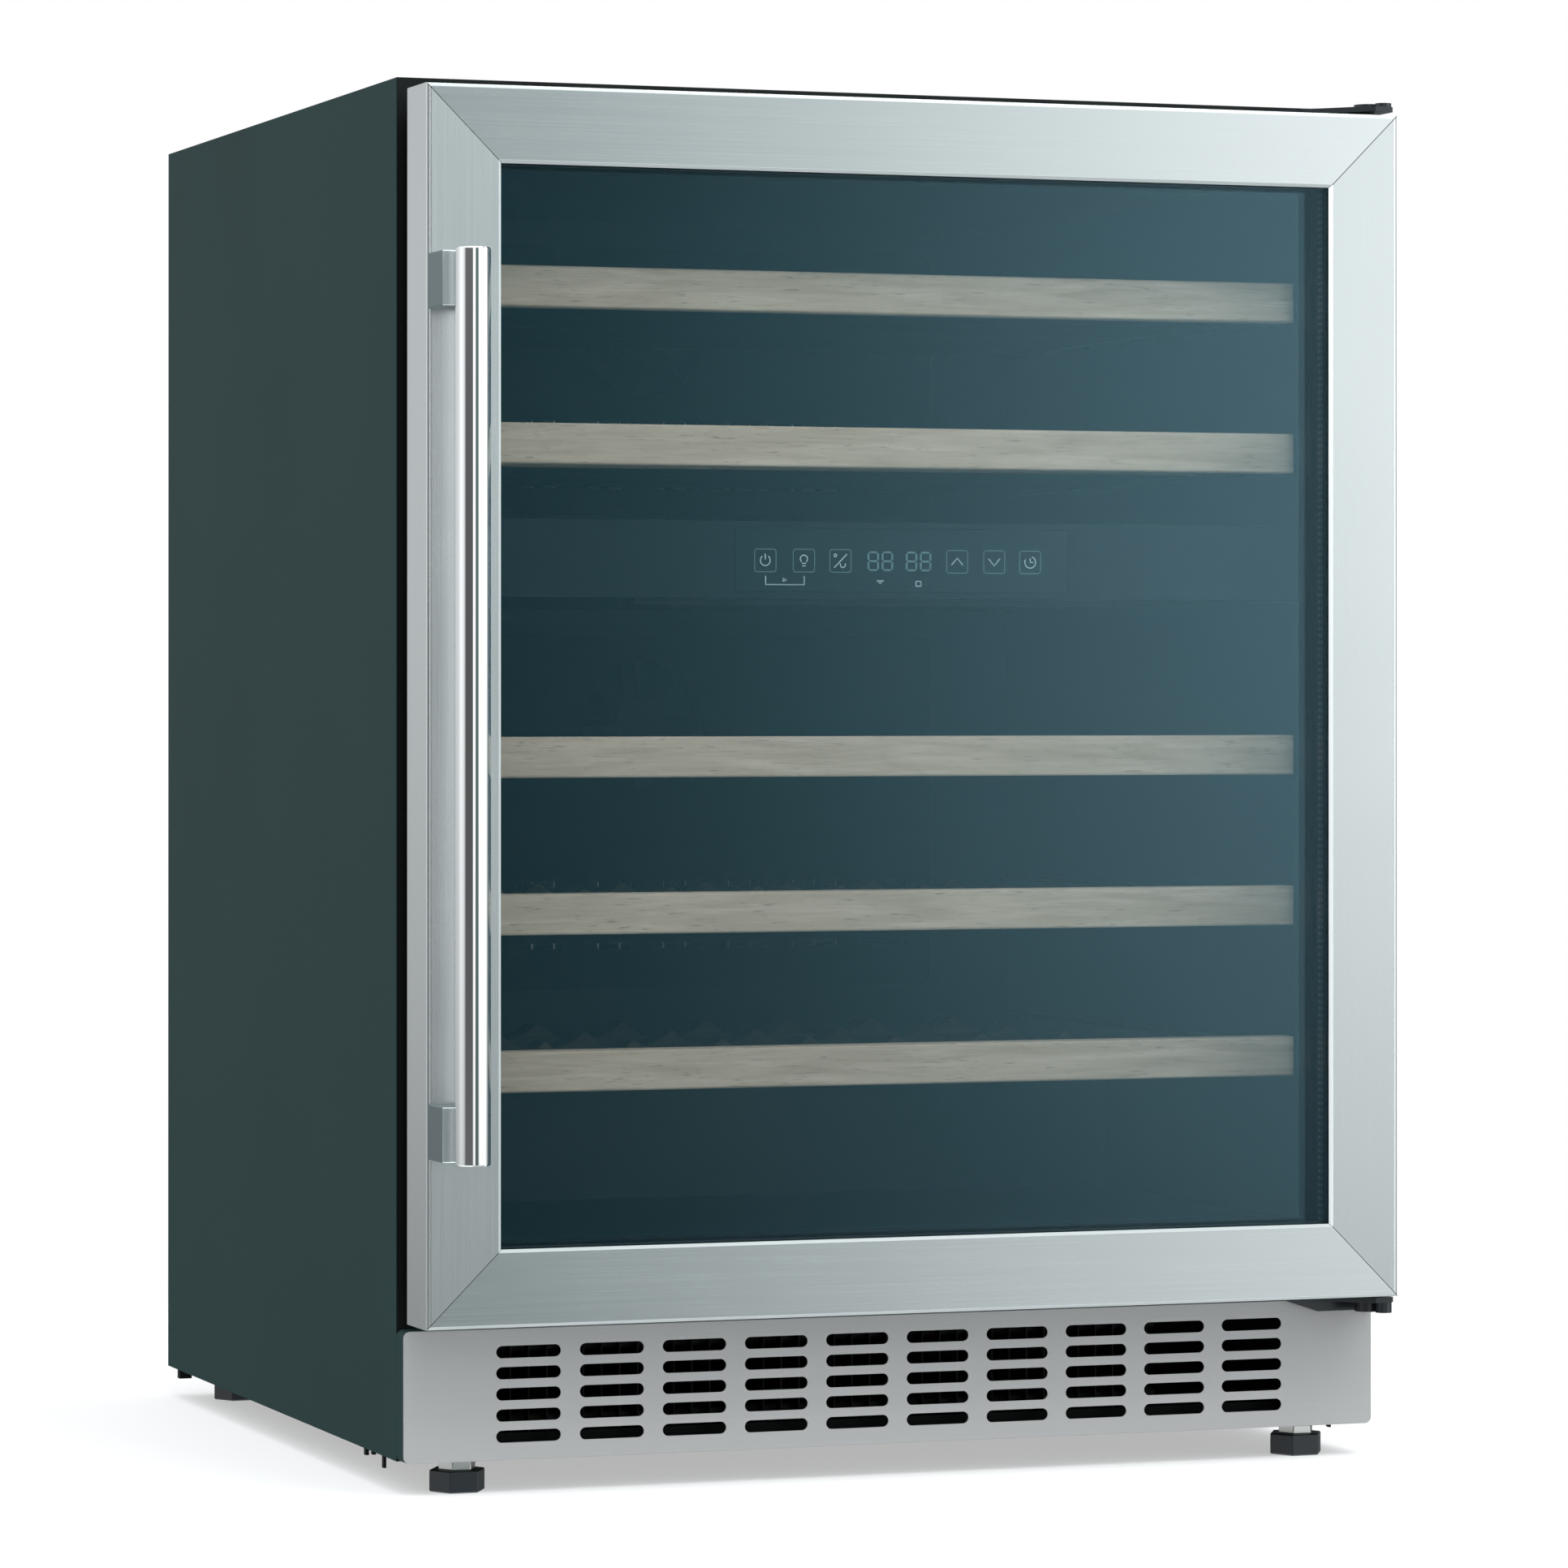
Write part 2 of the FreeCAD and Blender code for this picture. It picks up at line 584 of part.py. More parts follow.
# ---------------------------------------------------------------- air ducts, fans and coils
def duct_cover(label, fan_z, low, top, slots_z):
    """Moulded cover over a coil and its fan, open toward the back wall."""
    body = new_body(label)
    sk = sketch(body, "XZ_Plane", "-y_cav_rear", [rect("-duct_half", "duct_half", low, top)])
    pad(body, sk, "duct_deep")
    rounded(body, "6", lambda e: along(e, 1))
    hollow = sketch(body, "XZ_Plane", "-y_cav_rear", [
        rect("-duct_half + duct_wall + 4", "duct_half - duct_wall - 4",
             f"{low} + duct_wall + 4", f"{top} - duct_wall - 4"),
    ])
    pocket(body, hollow, "duct_deep - duct_wall", reverse=True)
    mouth = sketch(body, "XZ_Plane", "-y_duct", [("circle", "0", fan_z, "fan_bore - 1")])
    pocket(body, mouth, "duct_wall + 1")
    grille = sketch(body, "XZ_Plane", "-y_duct", [("slot", "-duct_half + 34", slots_z, "34", "4")])
    slot = pocket(body, grille, "duct_wall + 1")
    repeat(body, slot, grille, "H_Axis", "2 * duct_half - 68", "8", "V_Axis", "4 * 10", "5")
    node(label, body)


def turned_blades(hint, hub, tip, deep, count, pitch_angle):
    """A hub with flat blades set at an angle, its axis along +Z and starting at Z = 0."""
    hub_rod = rod(hint + "_hub", hub, f"{deep}", "0", "0", "0")
    blades = []
    for i in range(count):
        blade = scratch("Part::Box", hint + "_blade")
        blade.setExpression("Length", bound(f"{tip} - {hub} + 2"))
        blade.setExpression("Width", bound(f"{hub} * 0.9"))
        blade.Height = 1.4
        spin = FreeCAD.Rotation(V(0, 0, 1), 360.0 * i / count)
        tilt = FreeCAD.Rotation(V(1, 0, 0), pitch_angle)
        turn = spin.multiply(tilt)
        reach = dim(hub) - 2
        offset = turn.multVec(V(0, -dim(hub) * 0.45, -0.7)) + spin.multVec(V(reach, 0, 0))
        blade.Placement = FreeCAD.Placement(offset + V(0, 0, dim(deep) / 2), turn)
        blades.append(blade)
    swept = rod(hint + "_swept", tip, deep, "0", "0", "0")
    fan = scratch("Part::MultiCommon", hint + "_trimmed")
    fan.Shapes = [fused(hint + "_raw", [hub_rod] + blades), swept]
    return fan


def placed(obj, x, y, z, axis):
    obj.Placement = FreeCAD.Placement(V(), TURNS[axis])
    return at(obj, x, y, z)


def evaporator_side():
    duct_cover("upper_duct_cover", "fan_up_z", "572", "745", "590")
    duct_cover("lower_duct_cover", "fan_low_z", "262", "492", "290")

    coils = []
    for low, top in (("582", "634"), ("280", "372")):
        body = new_body("coil")
        fin_sk = sketch(body, "YZ_Plane", "-150", [rect("y_duct + 5", "y_cav_rear - 2", low, top)])
        fin = pad(body, fin_sk, "0.8")
        repeat(body, fin, fin_sk, "N_Axis", "300", "21")
        tubes = [("circle", "y_duct + 14", f"{low} + {k} * 20 + 12", "4") for k in range(2)]
        pad(body, sketch(body, "YZ_Plane", "-165", tubes), "330")
        coils.append(body)
    node("evaporators", grouped("coils", coils))

    frames = []
    for z in ("fan_up_z", "fan_low_z"):
        body = new_body("fan_frame")
        half = "fan_size / 2"
        ring = [rect(f"-{half}", half, f"{z} - {half}", f"{z} + {half}"), ("circle", "0", z, "fan_bore")]
        pad(body, sketch(body, "XZ_Plane", "-(y_fan + fan_deep)", ring), "fan_deep")
        rear = "-(y_fan + fan_deep)"
        motor = sketch(body, "XZ_Plane", rear, [("circle", "0", z, "fan_hub - 1")])
        pad(body, motor, "3")
        struts = [rect(f"-{half} + 1", f"{half} - 1", f"{z} - 2", f"{z} + 2")]
        pad(body, sketch(body, "XZ_Plane", rear, struts), "2")
        struts = [rect("-2", "2", f"{z} - {half} + 1", f"{z} + {half} - 1")]
        pad(body, sketch(body, "XZ_Plane", rear, struts), "2")
        frames.append(body)
    node("evaporator_fan_frames", grouped("frames", frames))

    for label, z in (("upper_fan_impeller", "fan_up_z"), ("lower_fan_impeller", "fan_low_z")):
        fan = turned_blades(label, "fan_hub", "fan_tip", "blade_deep", 7, 38)
        node(label, placed(fan, "0", "y_fan + 1", z, "y"))


# ---------------------------------------------------------------- machine space
def machine_space():
    # compressor: turned steel shell on a foot plate
    body = new_body("compressor")
    r = "comp_radius"
    base = "pan_top + 14"
    half = [
        ("0", base), (f"{r} * 0.62", base), (f"{r} * 0.9", f"{base} + 10"), (r, f"{base} + 28"),
        (r, f"{base} + 96"), (f"{r} * 0.92", f"{base} + 118"), (f"{r} * 0.62", f"{base} + 134"),
        (f"{r} * 0.25", f"{base} + 140"), ("0", f"{base} + 140"),
    ]
    sk = sketch(body, "XZ_Plane", "0", [("poly", half)])
    shell = body.newObject("PartDesign::Revolution", "shell")
    shell.Profile = sk
    shell.ReferenceAxis = (sk, ["V_Axis"])
    shell.Angle = 360
    doc.recompute()
    plate = [rect("-72", "72", "-48", "48")]
    pad(body, sketch(body, "XY_Plane", base, plate), "2.5")
    lid = [rect("-22", "22", "comp_radius - 14", "comp_radius + 16")]
    pad(body, sketch(body, "XY_Plane", f"{base} + 40", lid), "44")
    node("compressor", at(body, "comp_x", "comp_y", "0"))

    mounts = []
    for sx in (-1, 1):
        for sy in (-1, 1):
            mounts.append(rod("mount", "9", "14", f"comp_x + {sx} * 60", f"comp_y + {sy} * 37", "pan_top"))
    node("compressor_mounts", grouped("mounts", mounts))

    # condenser behind the kick grille: fins on three tube rows, and the line from the compressor
    body = new_body("condenser")
    fin_sk = sketch(body, "YZ_Plane", "-270", [rect("y_cab + 22", "y_cab + 70", "pan_top + 1", "pan_top + 73")])
    fin = pad(body, fin_sk, "0.8")
    repeat(body, fin, fin_sk, "N_Axis", "440", "41")
    tubes = [("circle", f"y_cab + {y}", f"pan_top + {z}", "4") for y in (33, 58) for z in (16, 37, 58)]
    pad(body, sketch(body, "YZ_Plane", "-278", tubes), "456")
    node("condenser", body)

    body = new_body("condenser_fan_frame")
    half = "cfan_size / 2"
    ring = [
        rect(f"cfan_y - {half}", f"cfan_y + {half}", f"cfan_z - {half}", f"cfan_z + {half}"),
        ("circle", "cfan_y", "cfan_z", "cfan_bore"),
    ]
    pad(body, sketch(body, "YZ_Plane", "cfan_x", ring), "cfan_deep")
    pad(body, sketch(body, "YZ_Plane", "cfan_x", [("circle", "cfan_y", "cfan_z", "cfan_hub - 1")]), "4")
    cross = [rect(f"cfan_y - {half} + 1", f"cfan_y + {half} - 1", "cfan_z - 3", "cfan_z + 3")]
    pad(body, sketch(body, "YZ_Plane", "cfan_x", cross), "3")
    cross = [rect("cfan_y - 3", "cfan_y + 3", f"cfan_z - {half} + 1", f"cfan_z + {half} - 1")]
    pad(body, sketch(body, "YZ_Plane", "cfan_x", cross), "3")
    node("condenser_fan_frame", body)

    fan = turned_blades("condenser_fan_impeller", "cfan_hub", "cfan_tip", "cblade_deep", 5, 40)
    node("condenser_fan_impeller", placed(fan, "cfan_x + 5", "cfan_y", "cfan_z", "x"))

    body = new_body("drip_tray")
    pad(body, sketch(body, "XY_Plane", "pan_top", [rect("-230", "-60", "130", "270")]), "22")
    rounded(body, "8", lambda e: along(e, 2))
    pocket(body, sketch(body, "XY_Plane", "pan_top + 22", [rect("-222", "-68", "138", "262")]), "20")
    node("drip_tray", body)

    body = new_body("mains_inlet")
    frame = sketch(body, "XZ_Plane", "-y_rear", [rect("inlet_x - 24.8", "inlet_x + 24.8", "inlet_z - 14.8", "inlet_z + 14.8")])
    pad(body, frame, "26")
    mouth = sketch(body, "XZ_Plane", "-y_rear", [rect("inlet_x - 12", "inlet_x + 12", "inlet_z - 8.5", "inlet_z + 8.5")])
    pocket(body, mouth, "17", reverse=True)
    pins = [rect(f"inlet_x + {x} - 1", f"inlet_x + {x} + 1", f"inlet_z + {z} - 2", f"inlet_z + {z} + 2")
            for x, z in ((-7, -2), (0, 2), (7, -2))]
    pad(body, sketch(body, "XZ_Plane", "-(y_rear - 18)", pins), "14", reverse=True)
    node("mains_inlet", body)


# ---------------------------------------------------------------- hinges
def hinge_brackets():
    for label, face, sign, fold, head, edge_z, screw_z in (
        ("hinge_bracket_bottom", "door_low - arm_gap", -1, "deck_low + 11", 6.2, "door_low - arm_gap", SCREW_LOW),
        ("hinge_bracket_top", "door_top + 2.4", 1, "door_top - 9", 2.2, "door_top + 2.4", SCREW_TOP),
    ):
        # face: the side of the arm that looks at the door; sign: -1 when the arm is under it
        body = new_body(label)
        arm_low = f"{face} - arm_thick" if sign < 0 else face
        plan = ("poly", [
            ("arm_in", "y_cab"), ("arm_in", "y_cab - 6"), ("arm_in + 14", "y_cab - 16"),
            ("pin_x - 10", "pin_y - 12"), ("pin_x - 3", "pin_y - 18"), ("pin_x + 7", "pin_y - 18"),
            ("cab_half - 1", "pin_y - 14"), ("cab_half - 1", "y_cab"),
        ])
        pad(body, sketch(body, "XY_Plane", arm_low, [plan]), "arm_thick")
        back = rect("arm_in", "cab_half - 1", fold, face) if sign > 0 else rect(
            "arm_in", "cab_half - 1", f"{face} - arm_thick", fold)
        pad(body, sketch(body, "XZ_Plane", "-y_cab", [back]), "arm_thick")
        # stiffening web beside the grille, tapered toward the middle of the front
        free = f"{arm_low} - 7" if sign < 0 else f"{arm_low} + arm_thick + 2.2"
        joined = arm_low if sign < 0 else f"{arm_low} + arm_thick"
        slope = ("arm_in + 6", "arm_in + 27") if sign < 0 else ("arm_in + 14", "pin_x + 2")
        web = ("poly", [(slope[0], joined), (slope[1], free), ("cab_half - 1", free), ("cab_half - 1", joined)])
        pad(body, sketch(body, "XZ_Plane", "-(y_cab - gap - 1.5)", [web]), "3")
        nut = [("circle", "pin_x", "pin_y", "8")]
        stop = [("circle", "pin_x + 4.5", "pin_y - 12.5", "4.8")]
        stop_low = f"{arm_low} - {head}" if sign < 0 else f"{arm_low} + arm_thick"
        pad(body, sketch(body, "XY_Plane", stop_low, stop), head)
        if sign < 0:
            pad(body, sketch(body, "XY_Plane", f"{arm_low} - {head}", nut), head)
            pin = sketch(body, "XY_Plane", face, [("circle", "pin_x", "pin_y", "pin_radius")])
            pad(body, pin, "pin_long")
        else:
            pad(body, sketch(body, "XY_Plane", f"{arm_low} + arm_thick", nut), head)
            pin = sketch(body, "XY_Plane", face, [("circle", "pin_x", "pin_y", "pin_radius")])
            pad(body, pin, "pin_long", reverse=True)
        holes = [("circle", x, screw_z, "screw_radius + 0.1") for x in HINGE_SCREWS]
        pocket(body, sketch(body, "XZ_Plane", "-(y_cab + 1)", holes), "8", reverse=True)
        node(label, body)

    screws = []
    for z in (SCREW_LOW, SCREW_TOP):
        for x in HINGE_SCREWS:
            shank = rod("shank", "screw_radius", "arm_thick + frame_thick", x, "y_cab - arm_thick", z, "y")
            head_rod = rod("head", "4", "2.2", x, "y_cab - arm_thick - 2.2", z, "y")
            screws.append(fused("hinge_screw", [shank, head_rod]))
    node("hinge_screws", grouped("screws", screws))


# ---------------------------------------------------------------- door
def door_profiles():
    """Four stainless profiles, each a folded sheet, mitred at the corners."""
    t = "sheet_thick"
    # distance outward from the glass opening, depth behind the door's face
    section = [
        ("-lip_over", "bevel"), ("bevel - lip_over", "0"), ("face_wide", "0"), ("face_wide", "door_thick - 2"),
        (f"face_wide - {t}", "door_thick - 2"), (f"face_wide - {t}", t), (f"bevel - lip_over + 0.41 * {t}", t),
        (f"{t} - lip_over", f"bevel + 0.41 * {t}"), (f"{t} - lip_over", "lip_deep"), ("-lip_over", "lip_deep"),
    ]
    reach = 60
    for label in ("left", "right", "top", "bottom"):
        body = new_body("door_profile_" + label)
        sign = -1 if label in ("left", "bottom") else 1
        if label in ("left", "right"):
            loop = ("poly", [(f"{sign} * (see_half + {u})", f"y_door + {w}") for u, w in section])
            pad(body, sketch(body, "XY_Plane", "door_low", [loop]), "door_tall")
        else:
            start = "see_top" if sign > 0 else "see_low"
            loop = ("poly", [(f"y_door + {w}", f"{start} + {sign} * ({u})") for u, w in section])
            pad(body, sketch(body, "YZ_Plane", "-door_half", [loop]), "door_width")
        # bend radius on the outer front edge
        outer = {"left": (0, -dim("door_half")), "right": (0, dim("door_half")),
                 "top": (2, dim("door_top")), "bottom": (2, dim("door_low"))}[label]
        run = 2 if label in ("left", "right") else 0

        def outer_edge(e, outer=outer, run=run):
            centre = e.CenterOfMass
            return along(e, run) and near(centre[outer[0]], outer[1]) and near(centre[1], dim("y_door"))

        rounded(body, "fold_radius", outer_edge)
        mitres = []
        for sx in (-1, 1):
            for sz, corner_z in ((-1, "door_low"), (1, "door_top")):
                if label == "left" and sx > 0 or label == "right" and sx < 0:
                    continue
                if label == "top" and sz < 0 or label == "bottom" and sz > 0:
                    continue
                # keep the gap on this profile's side of the diagonal
                if label in ("left", "right"):
                    shift = f"{corner_z} - {sz} * mitre_gap"
                    far = (f"{sx} * (door_half - {reach})", f"{shift} + {sz} * 6")
                else:
                    shift = f"{corner_z} + {sz} * mitre_gap"
                    far = (f"{sx} * (door_half + 6)", f"{shift} - {sz} * {reach}")
                mitres.append(("poly", [
                    (f"{sx} * (door_half + 6)", f"{shift} + {sz} * 6"),
                    (f"{sx} * (door_half - {reach})", f"{shift} - {sz} * {reach}"), far]))
        pocket(body, sketch(body, "XZ_Plane", "-y_door", mitres))
        if label in ("top", "bottom"):
            pocket(body, sketch(body, "XY_Plane", "door_low" if sign < 0 else "door_top",
                                [("circle", "pin_x", "pin_y", "pin_radius + 1")]),
                   f"{t} + 1", reverse=sign < 0)
        if label in ("left", "right"):
            # pressed line where the flat face meets the folded edge
            line = rect(f"{sign} * (door_half - fold_radius - line_wide)", f"{sign} * (door_half - fold_radius)",
                        "door_low", "door_top")
            pocket(body, sketch(body, "XZ_Plane", "-y_door", [line]), "line_deep")
        if label == "left":
            holes = [("circle", BAR_X, z, "screw_radius + 0.1") for z in POST_Z]
            pocket(body, sketch(body, "XZ_Plane", "-y_door", holes), f"{t} + 1")
        node("door_profile_" + label, body)


DOOR_MID = "(door_low + door_tall / 2)"
BAR_X = "-(door_half - bar_inset)"
POST_Z = (f"{DOOR_MID} - bar_long / 2 + 1 + post_tall / 2", f"{DOOR_MID} + bar_long / 2 - 1 - post_tall / 2")


def door_core():
    """Moulded frame inside the steel profiles that carries the glazing and the seal."""
    body = new_body("door_core")
    t = "sheet_thick"
    hole = rect("-(see_half - core_lap)", "see_half - core_lap", "see_low + core_lap", "see_top - core_lap")
    outer = rect(f"-(door_half - {t})", f"door_half - {t}", f"door_low + {t}", f"door_top - {t}")
    pad(body, sketch(body, "XZ_Plane", "-y_door_rear", [outer, hole]), f"door_thick - {t}")
    rounded(body, "2", lambda e: not along(e, 1) and near(e.CenterOfMass[1], dim("y_door") + dim(t))
            and (near(abs(e.CenterOfMass[0]), dim("door_half") - dim(t)) or e.CenterOfMass[2] < dim("door_low") + 3
                 or e.CenterOfMass[2] > dim("door_top") - 3))
    seat = rect("-(see_half + pane_lap)", "see_half + pane_lap", "see_low - pane_lap", "see_top + pane_lap")
    pocket(body, sketch(body, "XZ_Plane", f"-(y_door + {t})", [seat]), f"y_pane_rear - y_door - {t}")
    bush = [("circle", "pin_x", "pin_y", "bush_radius")]
    pocket(body, sketch(body, "XY_Plane", f"door_low + {t}", bush), "16", reverse=True)
    pocket(body, sketch(body, "XY_Plane", f"door_top - {t}", bush), "16")
    bores = [("circle", BAR_X, z, "screw_radius + 0.1") for z in POST_Z]
    pocket(body, sketch(body, "XZ_Plane", f"-(y_door + {t})", bores), "screw_seat")
    heads = [("circle", BAR_X, z, "5.5") for z in POST_Z]
    pocket(body, sketch(body, "XZ_Plane", "-y_door_rear", heads), "door_thick - screw_seat", reverse=True)
    node("door_core", body)


def glazing():
    seat = rect("-(see_half + pane_lap - 0.2)", "see_half + pane_lap - 0.2",
                "see_low - pane_lap + 0.2", "see_top + pane_lap - 0.2")
    for label, rear in (("glass_outer", "y_pane + pane"), ("glass_inner", "y_pane_rear")):
        body = new_body(label)
        pad(body, sketch(body, "XZ_Plane", f"-({rear})", [seat]), "pane")
        rounded(body, "3", lambda e: along(e, 1))
        node(label, body)
    body = new_body("glass_spacer")
    ring = [
        rect("-(see_half - spacer_show + spacer_wide)", "see_half - spacer_show + spacer_wide",
             "see_low + spacer_show - spacer_wide", "see_top - spacer_show + spacer_wide"),
        rect("-(see_half - spacer_show)", "see_half - spacer_show", "see_low + spacer_show", "see_top - spacer_show"),
    ]
    pad(body, sketch(body, "XZ_Plane", "-y_pane_in", ring), "pane_gap")
    node("glass_spacer", body)


def door_gasket():
    body = new_body("door_gasket")
    ring = [
        rect("-(seal_in + seal_wide)", "seal_in + seal_wide", "seal_low", "seal_top"),
        rect("-seal_in", "seal_in", "seal_low + seal_wide", "seal_top - seal_wide"),
    ]
    pad(body, sketch(body, "XZ_Plane", "-(y_cab - seal_gap)", ring), "gap - seal_gap")
    front = dim("y_cab") - dim("seal_gap")
    rounded(body, "4", lambda e: near(e.BoundBox.YMin, front) and near(e.BoundBox.YMax, front))
    node("door_gasket", body)


def handle():
    bar = rod("bar_blank", "bar_radius", "bar_long", BAR_X, "y_bar",
              f"{DOOR_MID} - bar_long / 2")
    ends = scratch("Part::Chamfer", "bar_ends")
    ends.Base = bar
    doc.recompute()
    ends.Edges = [(i, 0.8, 0.8) for i, e in enumerate(bar.Shape.Edges, start=1) if not along(e, 2)]
    node("handle_bar", ends)

    saddle = rod("saddle", "bar_radius", "bar_long + 40", BAR_X, "y_bar",
                 f"{DOOR_MID} - bar_long / 2 - 20")
    posts, screws = [], []
    for z in POST_Z:
        block = box("post", "post_inset - door_half", "post_inset - door_half + post_wide",
                    "y_door - post_deep", "y_door", f"{z} - post_tall / 2", f"{z} + post_tall / 2")
        bore = rod("post_bore", "screw_radius + 0.1", "16", BAR_X, "y_door - 15", z, "y")
        posts.append(cut("post_cut", block, [saddle, bore]))
        shank = rod("handle_shank", "screw_radius", "screw_seat + 14", BAR_X, "y_door - 14", z, "y")
        head = rod("handle_head", "4.5", "4", BAR_X, "y_door + screw_seat", z, "y")
        screws.append(fused("handle_screw", [shank, head]))
    node("handle_posts", grouped("posts", posts))
    node("handle_screws", grouped("handle_screw_pair", screws))


def hinge_bushes():
    bushes = []
    for start in ("door_low + sheet_thick", "door_top - sheet_thick - 16"):
        body = new_body("bush")
        ring = [("circle", "pin_x", "pin_y", "bush_radius"), ("circle", "pin_x", "pin_y", "pin_radius + pin_fit")]
        pad(body, sketch(body, "XY_Plane", start, ring), "16")
        bushes.append(body)
    node("hinge_bushes", grouped("bushes", bushes))


# ---------------------------------------------------------------- build and write
side_panel("side_panel_left", -1)
side_panel("side_panel_right", 1)
top_panel()
rear_sheets()
base_pan()
kick_grille()
feet()
insulated_shell()
divider_and_controls()
led_lights()
for shelf_name, shelf_level in SHELF_LEVELS:
    shelf(shelf_name, shelf_level)
shelf_runners()
evaporator_side()
machine_space()
hinge_brackets()
door_profiles()
door_core()
glazing()
door_gasket()
handle()
hinge_bushes()
doc.recompute()

for obj in doc.Objects:
    if "Invalid" in obj.State or "Error" in obj.State:
        raise RuntimeError(f"{obj.Name} ({obj.Label}) is in state {obj.State}")
if len(NODES) > NODE_LIMIT:
    raise RuntimeError(f"{len(NODES)} sub-parts, more than {NODE_LIMIT}")
os.makedirs("parts", exist_ok=True)
for old in os.listdir("parts"):
    if old.endswith(".step") and old[:-5] not in NODES:
        os.remove(os.path.join("parts", old))
for label, obj in NODES.items():
    shape = obj.Shape
    if shape.isNull() or not shape.isValid() or not shape.Solids:
        raise RuntimeError(f"{label} has no valid solid")
    shape.exportStep(os.path.join("parts", label + ".step"))
    size = shape.BoundBox
    print(f"{label:26s} {len(shape.Solids)} solids {shape.Volume / 1000:9.1f} cm3  "
          f"x {size.XMin:7.1f} {size.XMax:7.1f}  y {size.YMin:7.1f} {size.YMax:7.1f}  "
          f"z {size.ZMin:6.1f} {size.ZMax:6.1f}")
print(len(NODES), "nodes")
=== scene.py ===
import json
import math

import bmesh
import bpy
from mathutils import Matrix, Vector


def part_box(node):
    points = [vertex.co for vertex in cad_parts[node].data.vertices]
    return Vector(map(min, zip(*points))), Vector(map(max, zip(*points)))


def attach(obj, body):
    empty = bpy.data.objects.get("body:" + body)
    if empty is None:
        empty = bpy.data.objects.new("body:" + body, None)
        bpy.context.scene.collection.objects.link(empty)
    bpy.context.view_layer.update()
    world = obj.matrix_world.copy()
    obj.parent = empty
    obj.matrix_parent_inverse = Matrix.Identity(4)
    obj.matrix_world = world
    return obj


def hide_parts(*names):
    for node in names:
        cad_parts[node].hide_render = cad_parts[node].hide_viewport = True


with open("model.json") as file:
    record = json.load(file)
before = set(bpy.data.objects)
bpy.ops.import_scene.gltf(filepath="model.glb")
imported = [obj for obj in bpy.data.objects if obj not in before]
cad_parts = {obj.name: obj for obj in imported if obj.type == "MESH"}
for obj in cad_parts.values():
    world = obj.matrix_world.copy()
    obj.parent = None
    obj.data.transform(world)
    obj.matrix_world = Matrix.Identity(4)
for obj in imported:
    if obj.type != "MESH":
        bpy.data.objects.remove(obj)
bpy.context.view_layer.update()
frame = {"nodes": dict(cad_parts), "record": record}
NODES = frame["nodes"]
NODE_BODY = {n: b for b, ns in frame["record"]["behaviour"]["bodies"].items() for n in ns}
MM = 0.001
CORNERS = ("front_left", "front_right", "rear_left", "rear_right")


# ------------------------------------------------------------------ node material helpers
class Mat:
    """A Principled material with short ways to add textures in the object's own coordinates."""

    def __init__(self, name, color, rough, metal=0.0, **sockets):
        self.mat = bpy.data.materials.new(name)
        self.mat.use_nodes = True
        self.tree = self.mat.node_tree
        self.shader = self.tree.nodes["Principled BSDF"]
        self.color = (*color, 1.0)
        self.shader.inputs["Base Color"].default_value = self.color
        self.shader.inputs["Roughness"].default_value = rough
        self.shader.inputs["Metallic"].default_value = metal
        for key, value in sockets.items():
            self.shader.inputs[key.replace("_", " ")].default_value = value
        self.mat.diffuse_color = self.color
        self.coord = self.tree.nodes.new("ShaderNodeTexCoord").outputs["Object"]
        self.normal = None

    def node(self, kind, **props):
        made = self.tree.nodes.new(kind)
        for key, value in props.items():
            setattr(made, key, value)
        return made

    def link(self, a, b):
        self.tree.links.new(a, b)

    def stretched(self, scale):
        mapping = self.node("ShaderNodeMapping")
        mapping.inputs["Scale"].default_value = scale
        self.link(self.coord, mapping.inputs["Vector"])
        return mapping.outputs["Vector"]

    def noise(self, scale, vector=None, detail=4.0, rough=0.55, distortion=0.0):
        tex = self.node("ShaderNodeTexNoise")
        tex.inputs["Scale"].default_value = scale
        tex.inputs["Detail"].default_value = detail
        tex.inputs["Roughness"].default_value = rough
        tex.inputs["Distortion"].default_value = distortion
        self.link(vector or self.coord, tex.inputs["Vector"])
        return tex.outputs["Fac"]

    def ramp(self, fac, stops):
        made = self.node("ShaderNodeValToRGB")
        elements = made.color_ramp.elements
        while len(elements) < len(stops):
            elements.new(0.5)
        for element, (place, value) in zip(elements, stops):
            element.position = place
            element.color = (*value, 1.0) if isinstance(value, tuple) else (value, value, value, 1.0)
        self.link(fac, made.inputs["Fac"])
        return made.outputs["Color"]

    def blend(self, fac, a, b, mode="MIX"):
        made = self.node("ShaderNodeMix", data_type="RGBA", blend_type=mode)
        if isinstance(fac, float):
            made.inputs[0].default_value = fac
        else:
            self.link(fac, made.inputs[0])
        for index, value in ((6, a), (7, b)):
            if isinstance(value, tuple):
                made.inputs[index].default_value = (*value, 1.0)
            else:
                self.link(value, made.inputs[index])
        return made.outputs[2]

    def range(self, fac, low, high):
        made = self.node("ShaderNodeMapRange")
        made.inputs["To Min"].default_value = low
        made.inputs["To Max"].default_value = high
        self.link(fac, made.inputs["Value"])
        return made.outputs["Result"]

    def bump(self, height, strength, distance=0.0002):
        made = self.node("ShaderNodeBump")
        made.inputs["Strength"].default_value = strength
        made.inputs["Distance"].default_value = distance
        self.link(height, made.inputs["Height"])
        if self.normal:
            self.link(self.normal, made.inputs["Normal"])
        self.normal = made.outputs["Normal"]
        self.link(self.normal, self.shader.inputs["Normal"])

    def base(self, color):
        self.link(color, self.shader.inputs["Base Color"])

    def rough(self, value):
        self.link(value, self.shader.inputs["Roughness"])


